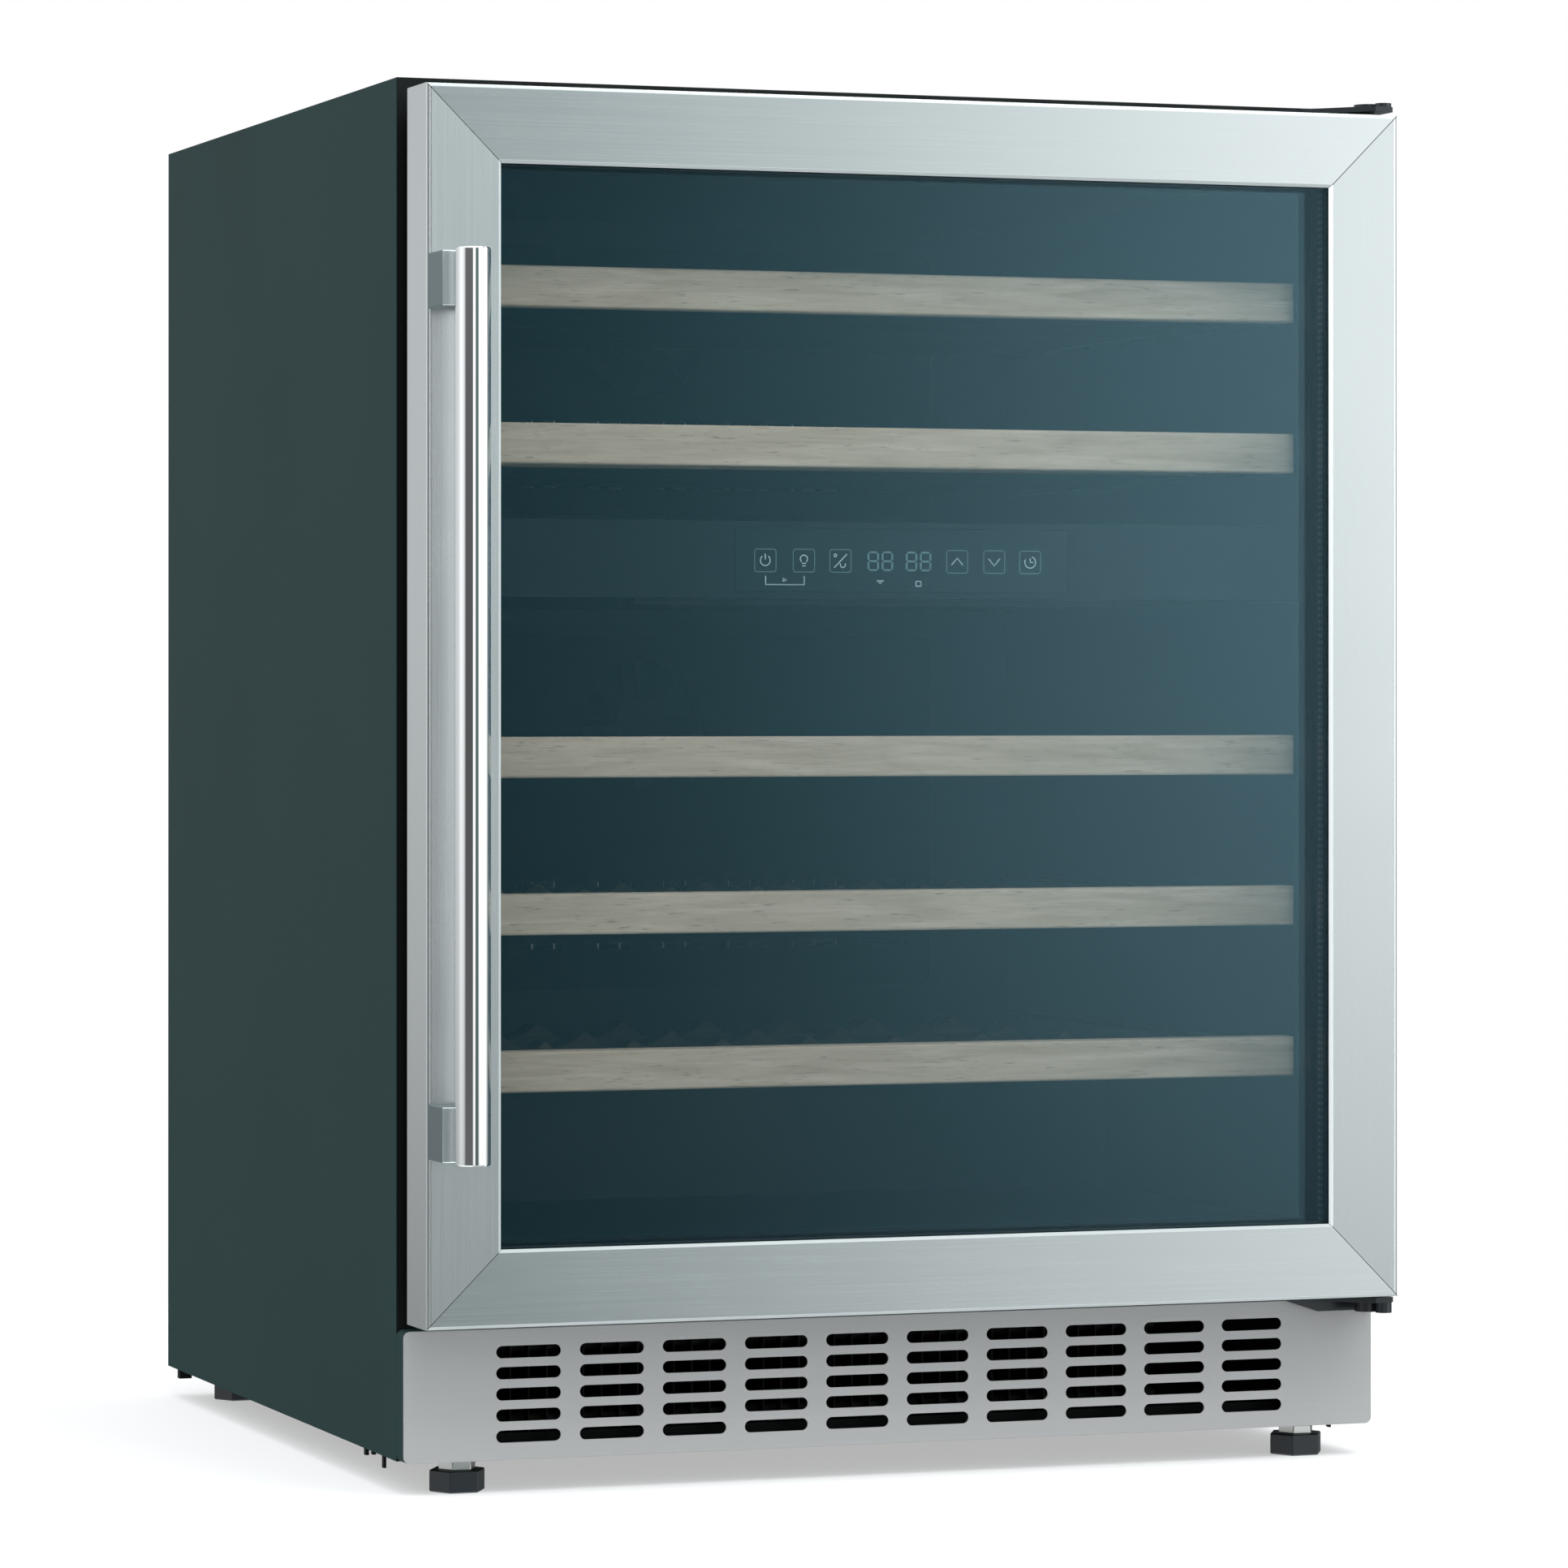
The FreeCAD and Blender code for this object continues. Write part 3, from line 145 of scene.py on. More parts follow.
def brushed(name, color, rough, along, depth=0.015, spread=0.03, aniso=0.6, shade=0.025, metal=1.0):
    """Stainless sheet with long fine scratches along one axis."""
    m = Mat(name, color, rough, metal, Anisotropic=aniso, Anisotropic_Rotation=0.25 if along == "x" else 0.0)
    scale = {"x": (8, 2400, 2400), "y": (2400, 8, 2400), "z": (2400, 2400, 8)}[along]
    lines = m.noise(1.0, m.stretched(scale), detail=3.0, rough=0.7)
    wide = m.noise(1.0, m.stretched(tuple(0.12 * s for s in scale)), detail=2.0)
    cloud = m.noise(9.0, detail=2.0)
    dark = tuple(c * (1 - shade) for c in color)
    light = tuple(min(1.0, c * (1 + shade)) for c in color)
    m.base(m.blend(m.ramp(lines, [(0.3, 0.0), (0.7, 1.0)]), dark, light))
    both = m.blend(0.35, m.ramp(lines, [(0.25, 0.0), (0.75, 1.0)]), m.ramp(cloud, [(0.3, 0.0), (0.7, 1.0)]))
    m.rough(m.range(both, rough - spread, rough + spread))
    m.bump(lines, depth)
    m.bump(wide, depth * 0.3)
    return m.mat


def painted(name, color, rough=0.42, peel=0.05, grain=700.0, shade=0.05, **sockets):
    """Powder-coated or lacquered sheet: faint orange peel and slight clouding."""
    m = Mat(name, color, rough, **sockets)
    cloud = m.noise(5.0, detail=5.0)
    m.base(m.blend(m.ramp(cloud, [(0.3, 0.0), (0.7, 1.0)]),
                   tuple(c * (1 - shade) for c in color), tuple(c * (1 + shade) for c in color)))
    fine = m.noise(grain, detail=2.0)
    m.rough(m.range(fine, rough - 0.05, rough + 0.06))
    m.bump(fine, peel)
    return m.mat


def moulded(name, color, rough=0.45, peel=0.10, grain=1500.0, **sockets):
    return painted(name, color, rough, peel, grain, 0.04, **sockets)


def galvanised(name, color):
    """Hot-dipped sheet: flat crystals a few millimetres wide, each a little lighter or darker."""
    m = Mat(name, color, 0.42, 0.85)
    cells = m.node("ShaderNodeTexVoronoi")
    cells.inputs["Scale"].default_value = 130.0
    m.link(m.coord, cells.inputs["Vector"])
    split = m.node("ShaderNodeSeparateColor")
    m.link(cells.outputs["Color"], split.inputs["Color"])
    tone = split.outputs["Red"]
    m.base(m.blend(tone, tuple(c * 0.93 for c in color), tuple(min(1, c * 1.07) for c in color)))
    m.rough(m.range(split.outputs["Green"], 0.36, 0.50))
    m.bump(m.noise(400.0), 0.06)
    return m.mat


def beech(name, light, dark, seed):
    """Straight-grained beech: long fibres along X, short dark flecks and slow colour drift."""
    m = Mat(name, light, 0.5)
    shifted = m.node("ShaderNodeMapping")
    shifted.inputs["Location"].default_value = (seed * 1.7, seed * 0.9, seed * 2.3)
    shifted.inputs["Scale"].default_value = (5, 60, 60)
    m.link(m.coord, shifted.inputs["Vector"])
    grain = m.noise(2.2, shifted.outputs["Vector"], detail=8.0, rough=0.62, distortion=0.6)
    fibre = m.noise(1.0, m.stretched((30, 1400, 1400)), detail=3.0)
    fleck = m.noise(1.0, m.stretched((90, 900, 900)), detail=1.0)
    tone = m.blend(m.ramp(grain, [(0.28, 0.0), (0.72, 1.0)]), dark, light)
    tone = m.blend(m.ramp(fibre, [(0.35, 0.0), (0.75, 0.35)]), tone, tuple(c * 0.8 for c in dark))
    tone = m.blend(m.ramp(fleck, [(0.66, 0.0), (0.74, 0.55)]), tone, tuple(c * 0.45 for c in dark))
    m.base(tone)
    m.rough(m.range(grain, 0.42, 0.6))
    m.bump(fibre, 0.12)
    return m.mat


def pane(name, color, alpha, tint, ior, rough=0.04):
    """Coated safety glass: a clear body, a coloured mirror-like sheen and a little dust."""
    m = Mat(name, color, rough, IOR=ior, Alpha=alpha)
    m.shader.inputs["Specular Tint"].default_value = (*tint, 1.0)
    dust = m.noise(160.0, detail=6.0)
    m.base(m.blend(m.ramp(dust, [(0.5, 0.0), (0.8, 0.04)]), color, (0.4, 0.5, 0.5)))
    m.rough(m.range(dust, rough, rough + 0.03))
    return m.mat


STEEL = (0.515, 0.54, 0.54)
MATS = {
    "dark_paint": painted("dark_paint", (0.0165, 0.036, 0.036), 0.5, 0.04, Specular_IOR_Level=0.02),
    "zinc_steel": galvanised("zinc_steel", (0.52, 0.54, 0.55)),
    "kick_steel": brushed("kick_steel", (0.29, 0.29, 0.29), 0.65, "x", metal=0.0),
    # a darker, matt copy of the door steel: painted shade on the edge fold of the door profiles
    "lip_painted_shade": brushed("lip_painted_shade", (0.36, 0.39, 0.39), 0.6, "x", metal=0.0),
    # a light, matt copy of the door steel: painted highlight on the edge fold of the right profile
    "lip_painted_highlight": brushed("lip_painted_highlight", (0.70, 0.73, 0.74), 0.6, "z", metal=0.0),
    "liner_plastic": moulded("liner_plastic", (0.004, 0.026, 0.034), 0.35),
    "foam": painted("foam", (0.70, 0.62, 0.40), 0.9, 0.6, 500.0),
    "divider_skin": moulded("divider_skin", (0.003, 0.018, 0.023), 0.4, Specular_IOR_Level=0.3),
    "black_plastic": moulded("black_plastic", (0.003, 0.010, 0.013), 0.42, Specular_IOR_Level=0.2),
    "control_glass": moulded("control_glass", (0.004, 0.014, 0.018), 0.12, 0.01, 60.0, Specular_IOR_Level=0.25),
    "circuit_board": moulded("circuit_board", (0.02, 0.14, 0.06), 0.35),
    "lamp_lens": moulded("lamp_lens", (0.010, 0.018, 0.020), 0.5, Specular_IOR_Level=0.2),
    "runner_plastic": moulded("runner_plastic", (0.010, 0.024, 0.028), 0.4),
    "coil_aluminium": brushed("coil_aluminium", (0.72, 0.74, 0.75), 0.35, "z"),
    "condenser_paint": painted("condenser_paint", (0.004, 0.004, 0.004), 0.5, 0.1, Specular_IOR_Level=0.15),
    "compressor_paint": painted("compressor_paint", (0.012, 0.012, 0.012), 0.3, 0.1),
    "mount_rubber": moulded("mount_rubber", (0.02, 0.02, 0.02), 0.8, 0.3),
    "hinge_black": painted("hinge_black", (0.004, 0.007, 0.009), 0.30, 0.08),
    "screw_zinc": brushed("screw_zinc", (0.66, 0.66, 0.63), 0.3, "x"),
    "outer_glass": pane("outer_glass", (0.001, 0.012, 0.016), 0.14, (0.45, 0.78, 0.95), 2.1),
    "inner_glass": pane("inner_glass", (0.001, 0.012, 0.016), 0.12, (0.44, 0.84, 1.0), 4.2),
    "spacer_hole": painted("spacer_hole", (0.12, 0.15, 0.16), 0.5, 0.02),
    "spacer_black": moulded("spacer_black", (0.006, 0.012, 0.015), 0.4, Specular_IOR_Level=0.2),
    "gasket_rubber": moulded("gasket_rubber", (0.003, 0.003, 0.003), 0.75, 0.2, Specular_IOR_Level=0.15),
    "handle_steel": brushed("handle_steel", (0.70, 0.71, 0.71), 0.065, "z", 0.02, 0.02, 0.2, 0.02),
    "post_steel": brushed("post_steel", (0.60, 0.66, 0.67), 0.3, "z"),
    "post_shade": brushed("post_shade", (0.16, 0.20, 0.21), 0.45, "z"),
    "panel_print": painted("panel_print", (0.55, 0.75, 0.77), 0.4, 0.02),
    "panel_digit": painted("panel_digit", (0.14, 0.27, 0.29), 0.4, 0.02),
    # near black: painted shade seen through the kick grille's slots
    "pan_painted_shade": painted("pan_painted_shade", (0.002, 0.003, 0.003), 0.6, 0.05, Specular_IOR_Level=0.1),
    "edge_black": painted("edge_black", (0.003, 0.004, 0.004), 0.45, 0.05, Specular_IOR_Level=0.15),
    "bush_nylon": moulded("bush_nylon", (0.75, 0.75, 0.70), 0.5),
    "beech_rail": beech("beech_rail", (0.70, 0.64, 0.52), (0.45, 0.385, 0.28), 1),
    # the decks are the same beech as the rails, painted much darker as painted shade below the rails
    "beech_deck": beech("beech_deck", (0.34, 0.27, 0.19), (0.24, 0.18, 0.12), 2),
    "fan_plastic": moulded("fan_plastic", (0.025, 0.025, 0.025), 0.45),
    "foot_black": moulded("foot_black", (0.006, 0.010, 0.013), 0.3),
}
STEEL_X = brushed("door_steel_across", STEEL, 0.26, "x")
STEEL_Z = brushed("door_steel_upright", STEEL, 0.26, "z")
MATS["door_steel"] = STEEL_X
SLOT_OF = {s["node"]: s["material_slot"] for s in frame["record"]["subparts"]}

# nodes whose finish isn't simply that of their slot
OWN_FINISH = {
    "door_profile_left": STEEL_Z,
    "door_profile_right": STEEL_Z,
    # the base pan is painted near black as painted shade behind the kick grille
    "base_pan": MATS["pan_painted_shade"],
    "front_frame": MATS["edge_black"],
    "door_core": MATS["edge_black"],
    "zone_divider": MATS["divider_skin"],
}


def material_for(node):
    return OWN_FINISH.get(node) or MATS[SLOT_OF[node]]


for name, obj in NODES.items():
    obj.data.materials.clear()
    obj.data.materials.append(material_for(name))


# ------------------------------------------------------------------ geometry helpers
def settle(obj, node_name, material=None, keep=False):
    """Link a piece, ride it on its node's body and, unless keep is set, take over the node's place."""
    if obj.name not in bpy.context.scene.collection.objects:
        bpy.context.scene.collection.objects.link(obj)
    if material is not None:
        obj.data.materials.clear()
        obj.data.materials.append(material)
    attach(obj, NODE_BODY[node_name])
    if not keep:
        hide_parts(node_name)
    return obj


def baked(obj):
    """Apply an object's modifiers to its mesh."""
    graph = bpy.context.evaluated_depsgraph_get()
    mesh = bpy.data.meshes.new_from_object(obj.evaluated_get(graph))
    obj.modifiers.clear()
    obj.data = mesh
    return obj


def welded(source, name):
    """A clean copy of a CAD mesh: corners joined and flat faces whole again."""
    mesh = source.data.copy()
    mesh.name = name
    bm = bmesh.new()
    bm.from_mesh(mesh)
    bmesh.ops.remove_doubles(bm, verts=bm.verts, dist=2e-6)
    bmesh.ops.dissolve_limit(bm, angle_limit=math.radians(0.3), verts=bm.verts, edges=bm.edges)
    for layer in list(bm.loops.layers.float_vector.values()):
        bm.loops.layers.float_vector.remove(layer)
    bm.to_mesh(mesh)
    bm.free()
    if mesh.has_custom_normals:
        mesh.attributes.remove(mesh.attributes["custom_normal"])
    return mesh


def eased(node_name, width=0.5, segments=2, angle=32.0):
    """A copy of a CAD piece with its sharp edges rounded to a hand-safe radius."""
    obj = bpy.data.objects.new(node_name + "_eased", welded(NODES[node_name], node_name + "_eased"))
    bpy.context.scene.collection.objects.link(obj)
    for poly in obj.data.polygons:
        poly.use_smooth = True
    bevel = obj.modifiers.new("bevel", "BEVEL")
    bevel.width = width * MM
    bevel.segments = segments
    bevel.limit_method = "ANGLE"
    bevel.angle_limit = math.radians(angle)
    bevel.harden_normals = True
    bevel.miter_outer = "MITER_ARC"
    normals = obj.modifiers.new("normals", "WEIGHTED_NORMAL")
    normals.keep_sharp = True
    normals.weight = 60
    baked(obj)
    return settle(obj, node_name, material_for(node_name))


def repaint(obj, material, test):
    """Give the faces that pass test(centre, normal), both in mm, another finish."""
    obj.data.materials.append(material)
    for poly in obj.data.polygons:
        if test(poly.center / MM, poly.normal):
            poly.material_index = len(obj.data.materials) - 1


# edge radius in mm of each piece that gets rounded edges
EASED = {
    "side_panel_left": 0.4, "side_panel_right": 0.4, "top_panel": 0.4, "front_frame": 0.8, "kick_grille": 0.2,
    "door_profile_left": 0.3, "door_profile_right": 0.3, "door_profile_top": 0.3, "door_profile_bottom": 0.3,
    "handle_posts": 0.6, "hinge_bracket_bottom": 0.5, "hinge_bracket_top": 0.5, "zone_divider": 0.8,
    "mains_inlet": 0.5, "machine_cover": 0.25, "back_panel": 0.25, "control_fascia": 0.4,
    "upper_duct_cover": 0.8, "lower_duct_cover": 0.8,
}
for number in range(1, 6):
    EASED[f"shelf_{number}_rail"] = 0.9
    EASED[f"shelf_{number}_deck"] = 0.7
for corner in CORNERS:
    EASED[f"foot_{corner}"] = 0.5
PIECES = {node_name: eased(node_name, width) for node_name, width in EASED.items()}

# ------------------------------------------------------------------ second finishes, places in mm
GRILLE_BACK = -230.3   # Y behind which the kick grille's returns are painted
PANEL_INSIDE = -150    # an inner face of a cabinet panel points back toward X = 0 from at least this far out
FOOT_TALL = 12.7       # top of the black foot, below its nut and stud
PINS_X, PINS_Z = -190, 62
PINS_Y = (301.5, 316)
# faces of the fold that lean this much get the painted shade and painted highlight copies of the door steel
LIP_MIN, LIP_MAX = 0.2, 0.97  # how far a face of the door's edge fold leans, as a part of its normal


# Front edges and inner faces of the cabinet panels, painted black as painted shade for the dark gap beside the door
# and the dark bay inside.
def is_painted_shade_face(place, normal):
    return normal.y < -0.5 or normal.x * place.x < PANEL_INSIDE


def is_pin(place, normal):
    """The three blades standing in the inlet's mouth."""
    return abs(place.x - PINS_X) < 9 and abs(place.z - PINS_Z) < 5 and PINS_Y[0] < place.y < PINS_Y[1]


repaint(PIECES["kick_grille"], MATS["dark_paint"],
        lambda place, normal: place.y > GRILLE_BACK and abs(normal.y) < 0.7)
# painted shade: the cabinet panels' front edges and inner faces are painted black
for node_name in ("side_panel_left", "side_panel_right", "top_panel"):
    repaint(PIECES[node_name], MATS["edge_black"], is_painted_shade_face)
# painted shade: the fold faces of the top, bottom and left profiles take a darker matt copy of the door steel
for side in ("top", "bottom"):
    repaint(PIECES[f"door_profile_{side}"], MATS["lip_painted_shade"],
            lambda place, normal: LIP_MIN < abs(normal.z) < LIP_MAX)
repaint(PIECES["door_profile_left"], MATS["lip_painted_shade"], lambda place, normal: LIP_MIN < normal.x < LIP_MAX)
# painted highlight: the right profile's fold faces take a light matt copy of the door steel
repaint(PIECES["door_profile_right"], MATS["lip_painted_highlight"], lambda place, normal: LIP_MIN < -normal.x < LIP_MAX)
repaint(PIECES["handle_posts"], MATS["post_shade"], lambda place, normal: abs(normal.y) < 0.5)
repaint(PIECES["mains_inlet"], MATS["screw_zinc"], is_pin)
for corner in CORNERS:
    repaint(PIECES[f"foot_{corner}"], MATS["screw_zinc"], lambda place, normal: place.z > FOOT_TALL)


# ------------------------------------------------------------------ thin lines
def strokes(name, lines, width, node_name, material, flat=None):
    """Thin tubes through lists of points in mm; flat squeezes them onto a plane of that Y."""
    squeeze = 0.3
    curve = bpy.data.curves.new(name, "CURVE")
    curve.dimensions = "3D"
    curve.bevel_depth = width / 2 * MM
    curve.bevel_resolution = 1
    curve.use_fill_caps = True
    for line in lines:
        spline = curve.splines.new("POLY")
        spline.points.add(len(line) - 1)
        for point, place in zip(spline.points, line):
            point.co = (*(v * MM for v in place), 1.0)
    obj = bpy.data.objects.new(name, curve)
    bpy.context.scene.collection.objects.link(obj)
    mesh = bpy.data.meshes.new_from_object(obj.evaluated_get(bpy.context.evaluated_depsgraph_get()))
    bpy.data.objects.remove(obj)
    if flat is not None:
        for vert in mesh.vertices:
            vert.co.y = flat * MM + (vert.co.y - flat * MM) * squeeze
    return settle(bpy.data.objects.new(name, mesh), node_name, material, keep=True)


# ------------------------------------------------------------------ control panel marks
PANEL_Y = -208.0
PANEL_Z = 531.6
KEY_HALF = 6.6
KEY_X = (-75.4, -51.6, -28.9, -4.2, 19.7, 44.0, 67.3, 90.1)
DIGIT_OUT = 4.4
SEGMENTS = {"a": ((0, 2), (1, 2)), "b": ((1, 2), (1, 1)), "c": ((1, 1), (1, 0)), "d": ((0, 0), (1, 0)),
            "e": ((0, 1), (0, 0)), "f": ((0, 2), (0, 1)), "g": ((0, 1), (1, 1))}


def arc(x, z, radius, start, end, steps=20):
    """Points on the panel, angles in degrees from straight up, clockwise."""
    turns = [math.radians(start + (end - start) * i / steps) for i in range(steps + 1)]
    return [(x + radius * math.sin(t), PANEL_Y, z + radius * math.cos(t)) for t in turns]


def on_panel(x, z, points):
    return [(x + u, PANEL_Y, z + v) for u, v in points]


def key_outline(x):
    """A square with small rounded corners around each touch mark."""
    radius = 1.6
    reach = KEY_HALF - radius
    path = []
    for turn, (sx, sz) in enumerate(((1, 1), (1, -1), (-1, -1), (-1, 1))):
        path += arc(x + sx * reach, PANEL_Z + sz * reach, radius, 90 * turn, 90 * turn + 90, 5)
    return path + path[:1]


def digit_strokes(x):
    """The seven bars of one digit, each cut a little short of its neighbours."""
    wide, tall, kept = 6.0, 5.2, 0.80
    for (u0, v0), (u1, v1) in SEGMENTS.values():
        ends = [(wide * (u0 - 0.5), tall * (v0 - 1)), (wide * (u1 - 0.5), tall * (v1 - 1))]
        middle = [(a + b) / 2 for a, b in zip(*ends)]
        short = [tuple(m + kept * (c - m) for m, c in zip(middle, end)) for end in ends]
        yield on_panel(x, PANEL_Z, short)


def panel_marks():
    """Touch marks in their frames, two displays and the small signs under them."""
    z = PANEL_Z
    power, light, unit, upper, lower, up, down, hold = KEY_X
    frames = [key_outline(x) for x in (power, light, unit, up, down, hold)]
    strokes("panel_frames", frames, 0.5, "control_lens", MATS["panel_digit"], PANEL_Y)
    marks = [
        # power
        arc(power, z, 3.0, 35, 325),
        on_panel(power, z, [(0, 4), (0, 0.5)]),
        # lamp
        arc(light, z + 1, 2.2, -140, 140),
        on_panel(light, z, [(-1.3, -1.6), (1.3, -1.6)]),
        on_panel(light, z, [(-1, -3), (1, -3)]),
        # degree unit
        on_panel(unit, z, [(-4, -4), (4, 4)]),
        arc(unit - 3.2, z + 3.2, 0.8, 0, 360, 10),
        arc(unit + 1.4, z - 2.2, 1.6, 60, 300, 12),
        # warmer, colder
        on_panel(up, z, [(-3.6, -2), (0, 2.2), (3.6, -2)]),
        on_panel(down, z, [(-3.6, 2), (0, -2.2), (3.6, 2)]),
        # hold
        arc(hold, z, 3.4, 20, 300),
        on_panel(hold, z, [(0, 2.4), (0, 0), (1.9, 0)]),
        # bracket that joins power and lamp, with its small arrow
        on_panel(power, z, [(0.2, -9), (0.2, -14), (24, -14), (24, -9)]),
        on_panel(power + 12, z - 11.2, [(-1, -1), (1, 0), (-1, 1), (-1, -1)]),
        # zone signs under the displays
        on_panel(upper, z - 11.5, [(-2.2, 0), (2.2, 0)]),
        on_panel(upper, z - 12.6, [(-1, 0), (1, 0)]),
        on_panel(lower, z - 13, [(-1.6, -1.4), (-1.6, 1.4), (1.6, 1.4), (1.6, -1.4), (-1.6, -1.4)]),
    ]
    strokes("panel_marks", marks, 0.7, "control_lens", MATS["panel_print"], PANEL_Y)
    digits = []
    for x in (upper - DIGIT_OUT, upper + DIGIT_OUT, lower - DIGIT_OUT, lower + DIGIT_OUT):
        digits += digit_strokes(x)
    strokes("panel_digits", digits, 1.3, "control_lens", MATS["panel_digit"], PANEL_Y)


panel_marks()


# ------------------------------------------------------------------ door corners
def mitre_seams():
    """The hairline where two door profiles meet, at each corner of the frame."""
    near, reach, width, sunk = 0.4, 42.3, 0.42, 0.02
    low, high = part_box("door_profile_left")[0] / MM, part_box("door_profile_right")[1] / MM
    face = low.y + sunk
    lines = []
    for x, inward in ((low.x, 1), (high.x, -1)):
        for z, toward in ((low.z, 1), (high.z, -1)):
            lines.append([(x + inward * d, face, z + toward * d) for d in (near, reach)])
    strokes("mitre_seams", lines, width, "door_profile_top", MATS["edge_black"], face)


mitre_seams()


# ------------------------------------------------------------------ foot threads
def threads():
    """A rolled M10 thread on each foot's stud, 1.5 mm pitch."""
    pitch, radius, start, end, width = 1.5, 4.95, 18.4, 54.0, 0.75
    per_turn = 14
    turns = (end - start) / pitch
    for corner in CORNERS:
        low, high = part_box(f"foot_{corner}")
        x, y = ((low[i] + high[i]) / 2 / MM for i in (0, 1))
        path = []
        for i in range(int(turns * per_turn) + 1):
            t = i * 2 * math.pi / per_turn
            path.append((x + radius * math.cos(t), y + radius * math.sin(t), start + pitch * i / per_turn))
        strokes(f"foot_{corner}_thread", [path], width, f"foot_{corner}", MATS["screw_zinc"])


threads()


# ------------------------------------------------------------------ door seal and spacer
def swept_ring(name, node_name, material, profile):
    """A closed section of (inset, depth) points in mm carried round the node's box with square corners."""
    (x0, y0, z0), (x1, y1, z1) = ([v / MM for v in corner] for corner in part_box(node_name))
    verts, faces = [], []
    for inset, depth in profile:
        left, right, bottom, top = x0 + inset, x1 - inset, z0 + inset, z1 - inset
        for x, z in ((left, bottom), (right, bottom), (right, top), (left, top)):
            verts.append((x * MM, (y0 + depth) * MM, z * MM))
    count = len(profile)
    for i in range(count):
        j = (i + 1) % count
        for c in range(4):
            d = (c + 1) % 4
            faces.append((4 * i + c, 4 * i + d, 4 * j + d, 4 * j + c))
    mesh = bpy.data.meshes.new(name)
    mesh.from_pydata(verts, [], faces)
    bm = bmesh.new()
    bm.from_mesh(mesh)
    bmesh.ops.recalc_face_normals(bm, faces=bm.faces)
    bm.to_mesh(mesh)
    bm.free()
    for poly in mesh.polygons:
        poly.use_smooth = True
    mesh.set_sharp_from_angle(angle=math.radians(50))
    return settle(bpy.data.objects.new(name, mesh), node_name, material)


def door_seal():
    """Magnetic seal: a retaining foot, two bellows folds and a rounded face with three ribs."""
    wide, deep = 16, 14.7
    side = [
        (0.0, 0.0), (0.0, 2.0), (1.6, 3.4), (1.6, 5.0), (0.2, 6.4), (0.2, 8.0), (1.6, 9.4), (0.6, 10.8), (0.3, 12.6),
    ]
    rib_wide, rib_tall, rib_pitch, first = 2.1, 1.4, 5.0, 3.0
    face = []
    for rib in range(3):
        centre = first + rib_pitch * rib
        for turn in map(math.radians, range(-80, 81, 20)):
            face.append((centre + rib_wide * math.sin(turn), deep - rib_tall + rib_tall * math.cos(turn)))
    profile = side + face + [(wide - x, y) for x, y in reversed(side)]
    swept_ring("door_seal", "door_gasket", MATS["gasket_rubber"], profile)


def spacer_holes():
    """Two rows of small breather holes round the inner wall of the spacer bar."""
    (x0, y0, z0), (x1, y1, z1) = ([v / MM for v in corner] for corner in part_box("glass_spacer"))
    wall, row = 8.0, 4.0
    x0, x1, z0, z1 = x0 + wall, x1 - wall, z0 + wall, z1 - wall
    pitch, radius, proud = 4.0, 0.8, 0.06
    bm = bmesh.new()

    def dimple(place, normal):
        turn = Vector(normal).to_track_quat("Z", "Y").to_matrix().to_4x4()
        bmesh.ops.create_circle(bm, cap_ends=True, segments=8, radius=radius * MM,
                                matrix=Matrix.Translation(Vector(place) * MM) @ turn)

    for y in (y0 + row, y1 - row):
        for i in range(int((z1 - z0) / pitch)):
            dimple((x0 + proud, y, z0 + pitch * (i + 0.5)), (1, 0, 0))
            dimple((x1 - proud, y, z0 + pitch * (i + 0.5)), (-1, 0, 0))
        for i in range(int((x1 - x0) / pitch)):
            dimple((x0 + pitch * (i + 0.5), y, z0 + proud), (0, 0, 1))
            dimple((x0 + pitch * (i + 0.5), y, z1 - proud), (0, 0, -1))
    mesh = bpy.data.meshes.new("spacer_holes")
    bm.to_mesh(mesh)
    bm.free()
    settle(bpy.data.objects.new("spacer_holes", mesh), "glass_spacer", MATS["spacer_hole"], keep=True)


door_seal()
spacer_holes()


# ------------------------------------------------------------------ studio
def floor():
    """A pale disc that fades out, so that it shows the cooler's shadow and no edge."""
    mesh = bpy.data.meshes.new("floor")
    bm = bmesh.new()
    bmesh.ops.create_circle(bm, cap_ends=True, segments=96, radius=12.0)
    bm.to_mesh(mesh)
    bm.free()
    obj = bpy.data.objects.new("floor", mesh)
    bpy.context.scene.collection.objects.link(obj)
    m = Mat("floor_paint", (0.95, 0.955, 0.96), 0.7, Specular_IOR_Level=0.1)
    length = m.node("ShaderNodeVectorMath", operation="LENGTH")
    m.link(m.coord, length.inputs[0])
    fade = m.node("ShaderNodeMapRange", interpolation_type="SMOOTHERSTEP")
    fade.inputs["From Min"].default_value = 0.45
    fade.inputs["From Max"].default_value = 1.1
    fade.inputs["To Min"].default_value = 0.55
    fade.inputs["To Max"].default_value = 0.0
    m.link(length.outputs["Value"], fade.inputs["Value"])
    m.link(fade.outputs["Result"], m.shader.inputs["Alpha"])
    m.bump(m.noise(60.0), 0.02)
    mesh.materials.append(m.mat)
    obj.visible_glossy = False


def fill_ramp(node, stops):
    """Fill a colour ramp; stops are (place from 0 to 1, level, share of red in it)."""
    node.color_ramp.interpolation = "B_SPLINE"
    elements = node.color_ramp.elements
    while len(elements) < len(stops):
        elements.new(0.5)
    for element, (place, level, red) in zip(elements, stops):
        element.position = place
        element.color = (level * red, level, level * 1.01, 1.0)


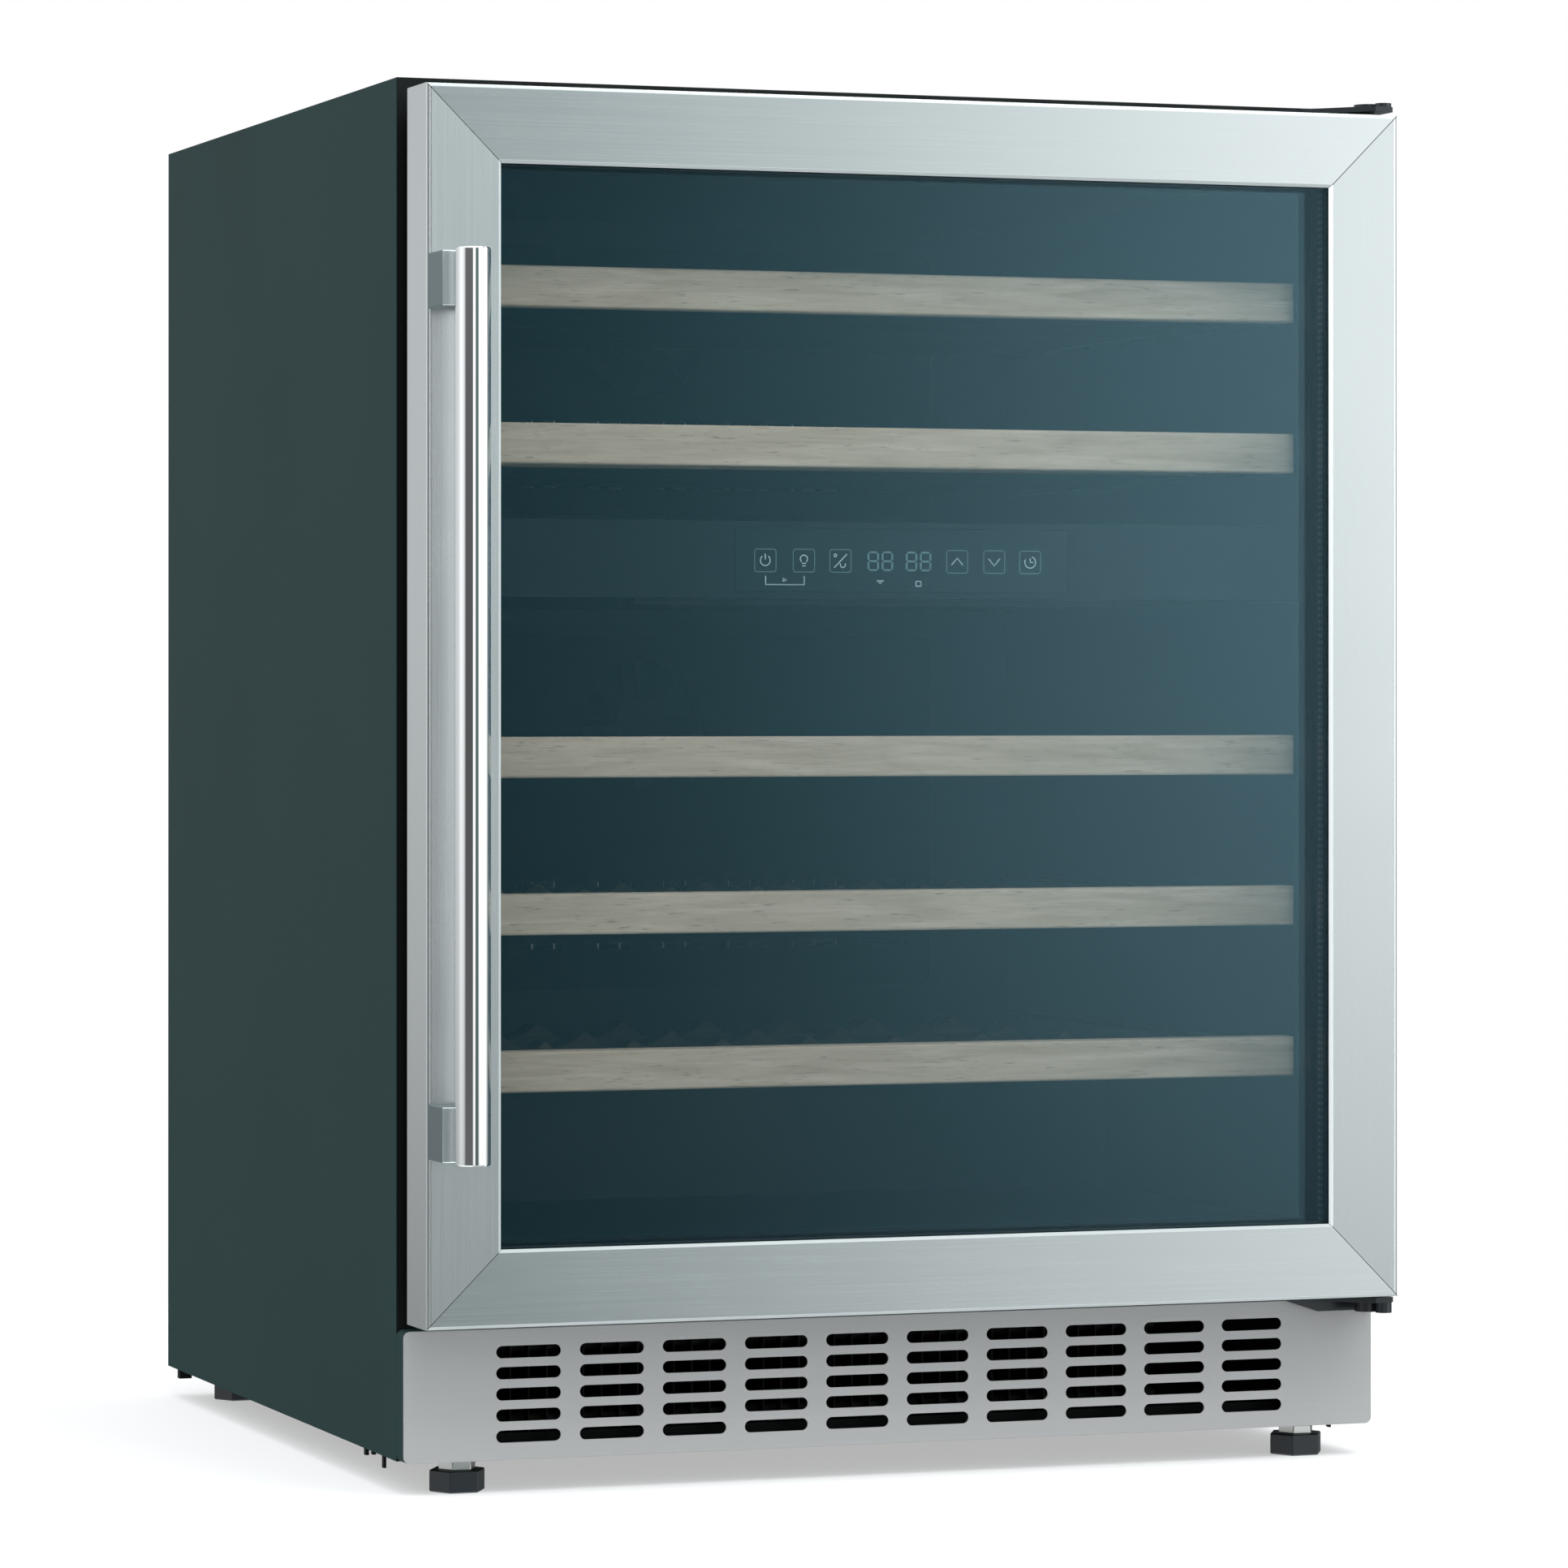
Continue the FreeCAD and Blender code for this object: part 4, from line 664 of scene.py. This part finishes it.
# soft cards round the cooler: (azimuth in degrees from -Y toward +X, level)
CARDS = [
    (-180, 0.8), (-125, 0.8), (-104, 1.5), (-84, 1.3), (-73, 0.9), (-65, 0.04), (-58, 0.03), (-22, 0.03),
    (-17, 0.04), (-11, 2.6), (-6, 2.6), (0, 0.10), (7, 0.12), (13, 0.18), (19, 0.25), (25, 2.4), (32, 2.4),
    (56, 2.6), (74, 2.2), (88, 0.6), (104, 0.12), (140, 0.2), (180, 0.8),
]
CARD_TOP = 3.0             # the level that a ramp's 1.0 stands for
PLAIN_RED, TEAL_RED = 0.97, 0.50
TEAL_FROM, TEAL_TO = 3, 20
# how strong the cards are at each height: (Z of the direction, factor)
HEIGHTS = [
    (-1.0, 1.2), (-0.6, 1.1), (-0.3, 0.20), (-0.14, 0.22), (-0.05, 0.80), (0.03, 1.0), (0.12, 0.95), (0.3, 0.7),
    (0.6, 0.95), (1.0, 1.7),
]
HEIGHT_TOP = 2.0
# a plain glow well above and well below eye level, so that other views see lit steel too
GLOW = [(-1.0, 0.45), (-0.75, 0.4), (-0.4, 0.04), (0.2, 0.04), (0.55, 0.4), (1.0, 0.4)]
# above and below eye level the dark card at the left front is light again:
# where that is round the cooler, and at what height
DARK_CARD = [(-80, 0.0), (-70, 0.7), (-20, 0.7), (-10, 0.0)]
OFF_EYE_LEVEL = [(-1.0, 1.3), (-0.25, 1.3), (-0.1, 0.0), (0.1, 0.0), (0.25, 1.3), (1.0, 1.3)]


def studio_world():
    """Camera rays see a plain pale room; reflections see soft cards around the cooler."""
    world = bpy.data.worlds.new("studio")
    bpy.context.scene.world = world
    world.use_nodes = True
    tree = world.node_tree
    tree.nodes.clear()
    out = tree.nodes.new("ShaderNodeOutputWorld")
    coord = tree.nodes.new("ShaderNodeTexCoord")
    split = tree.nodes.new("ShaderNodeSeparateXYZ")
    tree.links.new(coord.outputs["Generated"], split.inputs[0])

    def math_node(kind, *values):
        made = tree.nodes.new("ShaderNodeMath")
        made.operation = kind
        for index, value in enumerate(values):
            if isinstance(value, (int, float)):
                made.inputs[index].default_value = value
            else:
                tree.links.new(value, made.inputs[index])
        return made.outputs[0]

    def ramp_node(fac, stops):
        made = tree.nodes.new("ShaderNodeValToRGB")
        fill_ramp(made, stops)
        tree.links.new(fac, made.inputs["Fac"])
        return made.outputs["Color"]

    def height_ramp(levels, top):
        return ramp_node(upward, [((z + 1) / 2, level / top, 1.0) for z, level in levels])

    def multiply_add(*colors):
        made = tree.nodes.new("ShaderNodeVectorMath")
        made.operation = "MULTIPLY_ADD"
        for index, color in enumerate(colors):
            tree.links.new(color, made.inputs[index])
        return made.outputs["Vector"]

    def turn_stops(levels, top):
        for azimuth, level in levels:
            yield (azimuth + 180) / 360, level / top, TEAL_RED if TEAL_FROM < azimuth < TEAL_TO else PLAIN_RED

    # azimuth and height of the direction, each as 0..1
    back = math_node("MULTIPLY", split.outputs["Y"], -1.0)
    turn = math_node("ARCTAN2", split.outputs["X"], back)
    place = math_node("MULTIPLY_ADD", turn, 1 / (2 * math.pi), 0.5)
    upward = math_node("MULTIPLY_ADD", split.outputs["Z"], 0.5, 0.5)
    ring = ramp_node(place, list(turn_stops(CARDS, CARD_TOP)))
    height = height_ramp(HEIGHTS, HEIGHT_TOP)
    lift = height_ramp(GLOW, HEIGHT_TOP * CARD_TOP)
    side = ramp_node(place, list(turn_stops(DARK_CARD, 1.0)))
    clear = height_ramp(OFF_EYE_LEVEL, HEIGHT_TOP * CARD_TOP)
    total = multiply_add(side, clear, multiply_add(ring, height, lift))
    cards = tree.nodes.new("ShaderNodeBackground")
    tree.links.new(total, cards.inputs["Color"])
    cards.inputs["Strength"].default_value = HEIGHT_TOP * CARD_TOP
    plain = tree.nodes.new("ShaderNodeBackground")
    plain.inputs["Color"].default_value = (1.0, 1.0, 1.0, 1.0)
    path = tree.nodes.new("ShaderNodeLightPath")
    mix = tree.nodes.new("ShaderNodeMixShader")
    tree.links.new(path.outputs["Is Camera Ray"], mix.inputs[0])
    tree.links.new(cards.outputs[0], mix.inputs[1])
    tree.links.new(plain.outputs[0], mix.inputs[2])
    tree.links.new(mix.outputs[0], out.inputs["Surface"])


def area(name, place, target, size, power, color=(1.0, 1.0, 1.0)):
    """A rectangular light at place, aimed at target."""
    light = bpy.data.lights.new(name, "AREA")
    light.shape = "RECTANGLE"
    light.size, light.size_y = size
    light.energy = power
    light.color = color
    obj = bpy.data.objects.new(name, light)
    obj.location = place
    obj.rotation_mode = "QUATERNION"
    obj.rotation_quaternion = (Vector(target) - Vector(place)).to_track_quat("-Z", "Y")
    bpy.context.scene.collection.objects.link(obj)
    return obj


def camera():
    """A long lens left of the cooler and near half its height, level, so that uprights stay upright."""
    data = bpy.data.cameras.new("camera")
    obj = bpy.data.objects.new("camera", data)
    bpy.context.scene.collection.objects.link(obj)
    yaw, pitch = 0.3420, 0.0033
    obj.location = (-1.2742, -3.6079, 0.4539)
    obj.rotation_mode = "XYZ"
    obj.rotation_euler = (math.pi / 2 + pitch, 0.0, -yaw)
    data.sensor_width = 36.0
    data.lens = 142.64
    data.shift_y = -0.0703
    data.clip_start, data.clip_end = 0.05, 100.0
    bpy.context.scene.camera = obj


bpy.context.scene.view_settings.view_transform = "Standard"
floor()
studio_world()
area("top_soft", (0.3, -0.9, 3.0), (0, 0, 0.4), (3.0, 3.0), 40.0)
fill = area("shelf_fill", (0.16, -1.04, 1.52), (0.06, -0.2, 0.82), (0.6, 0.4), 2.25, (0.95, 1.0, 1.0))
fill.data.spread = math.radians(60)
fill.visible_glossy = False
camera()
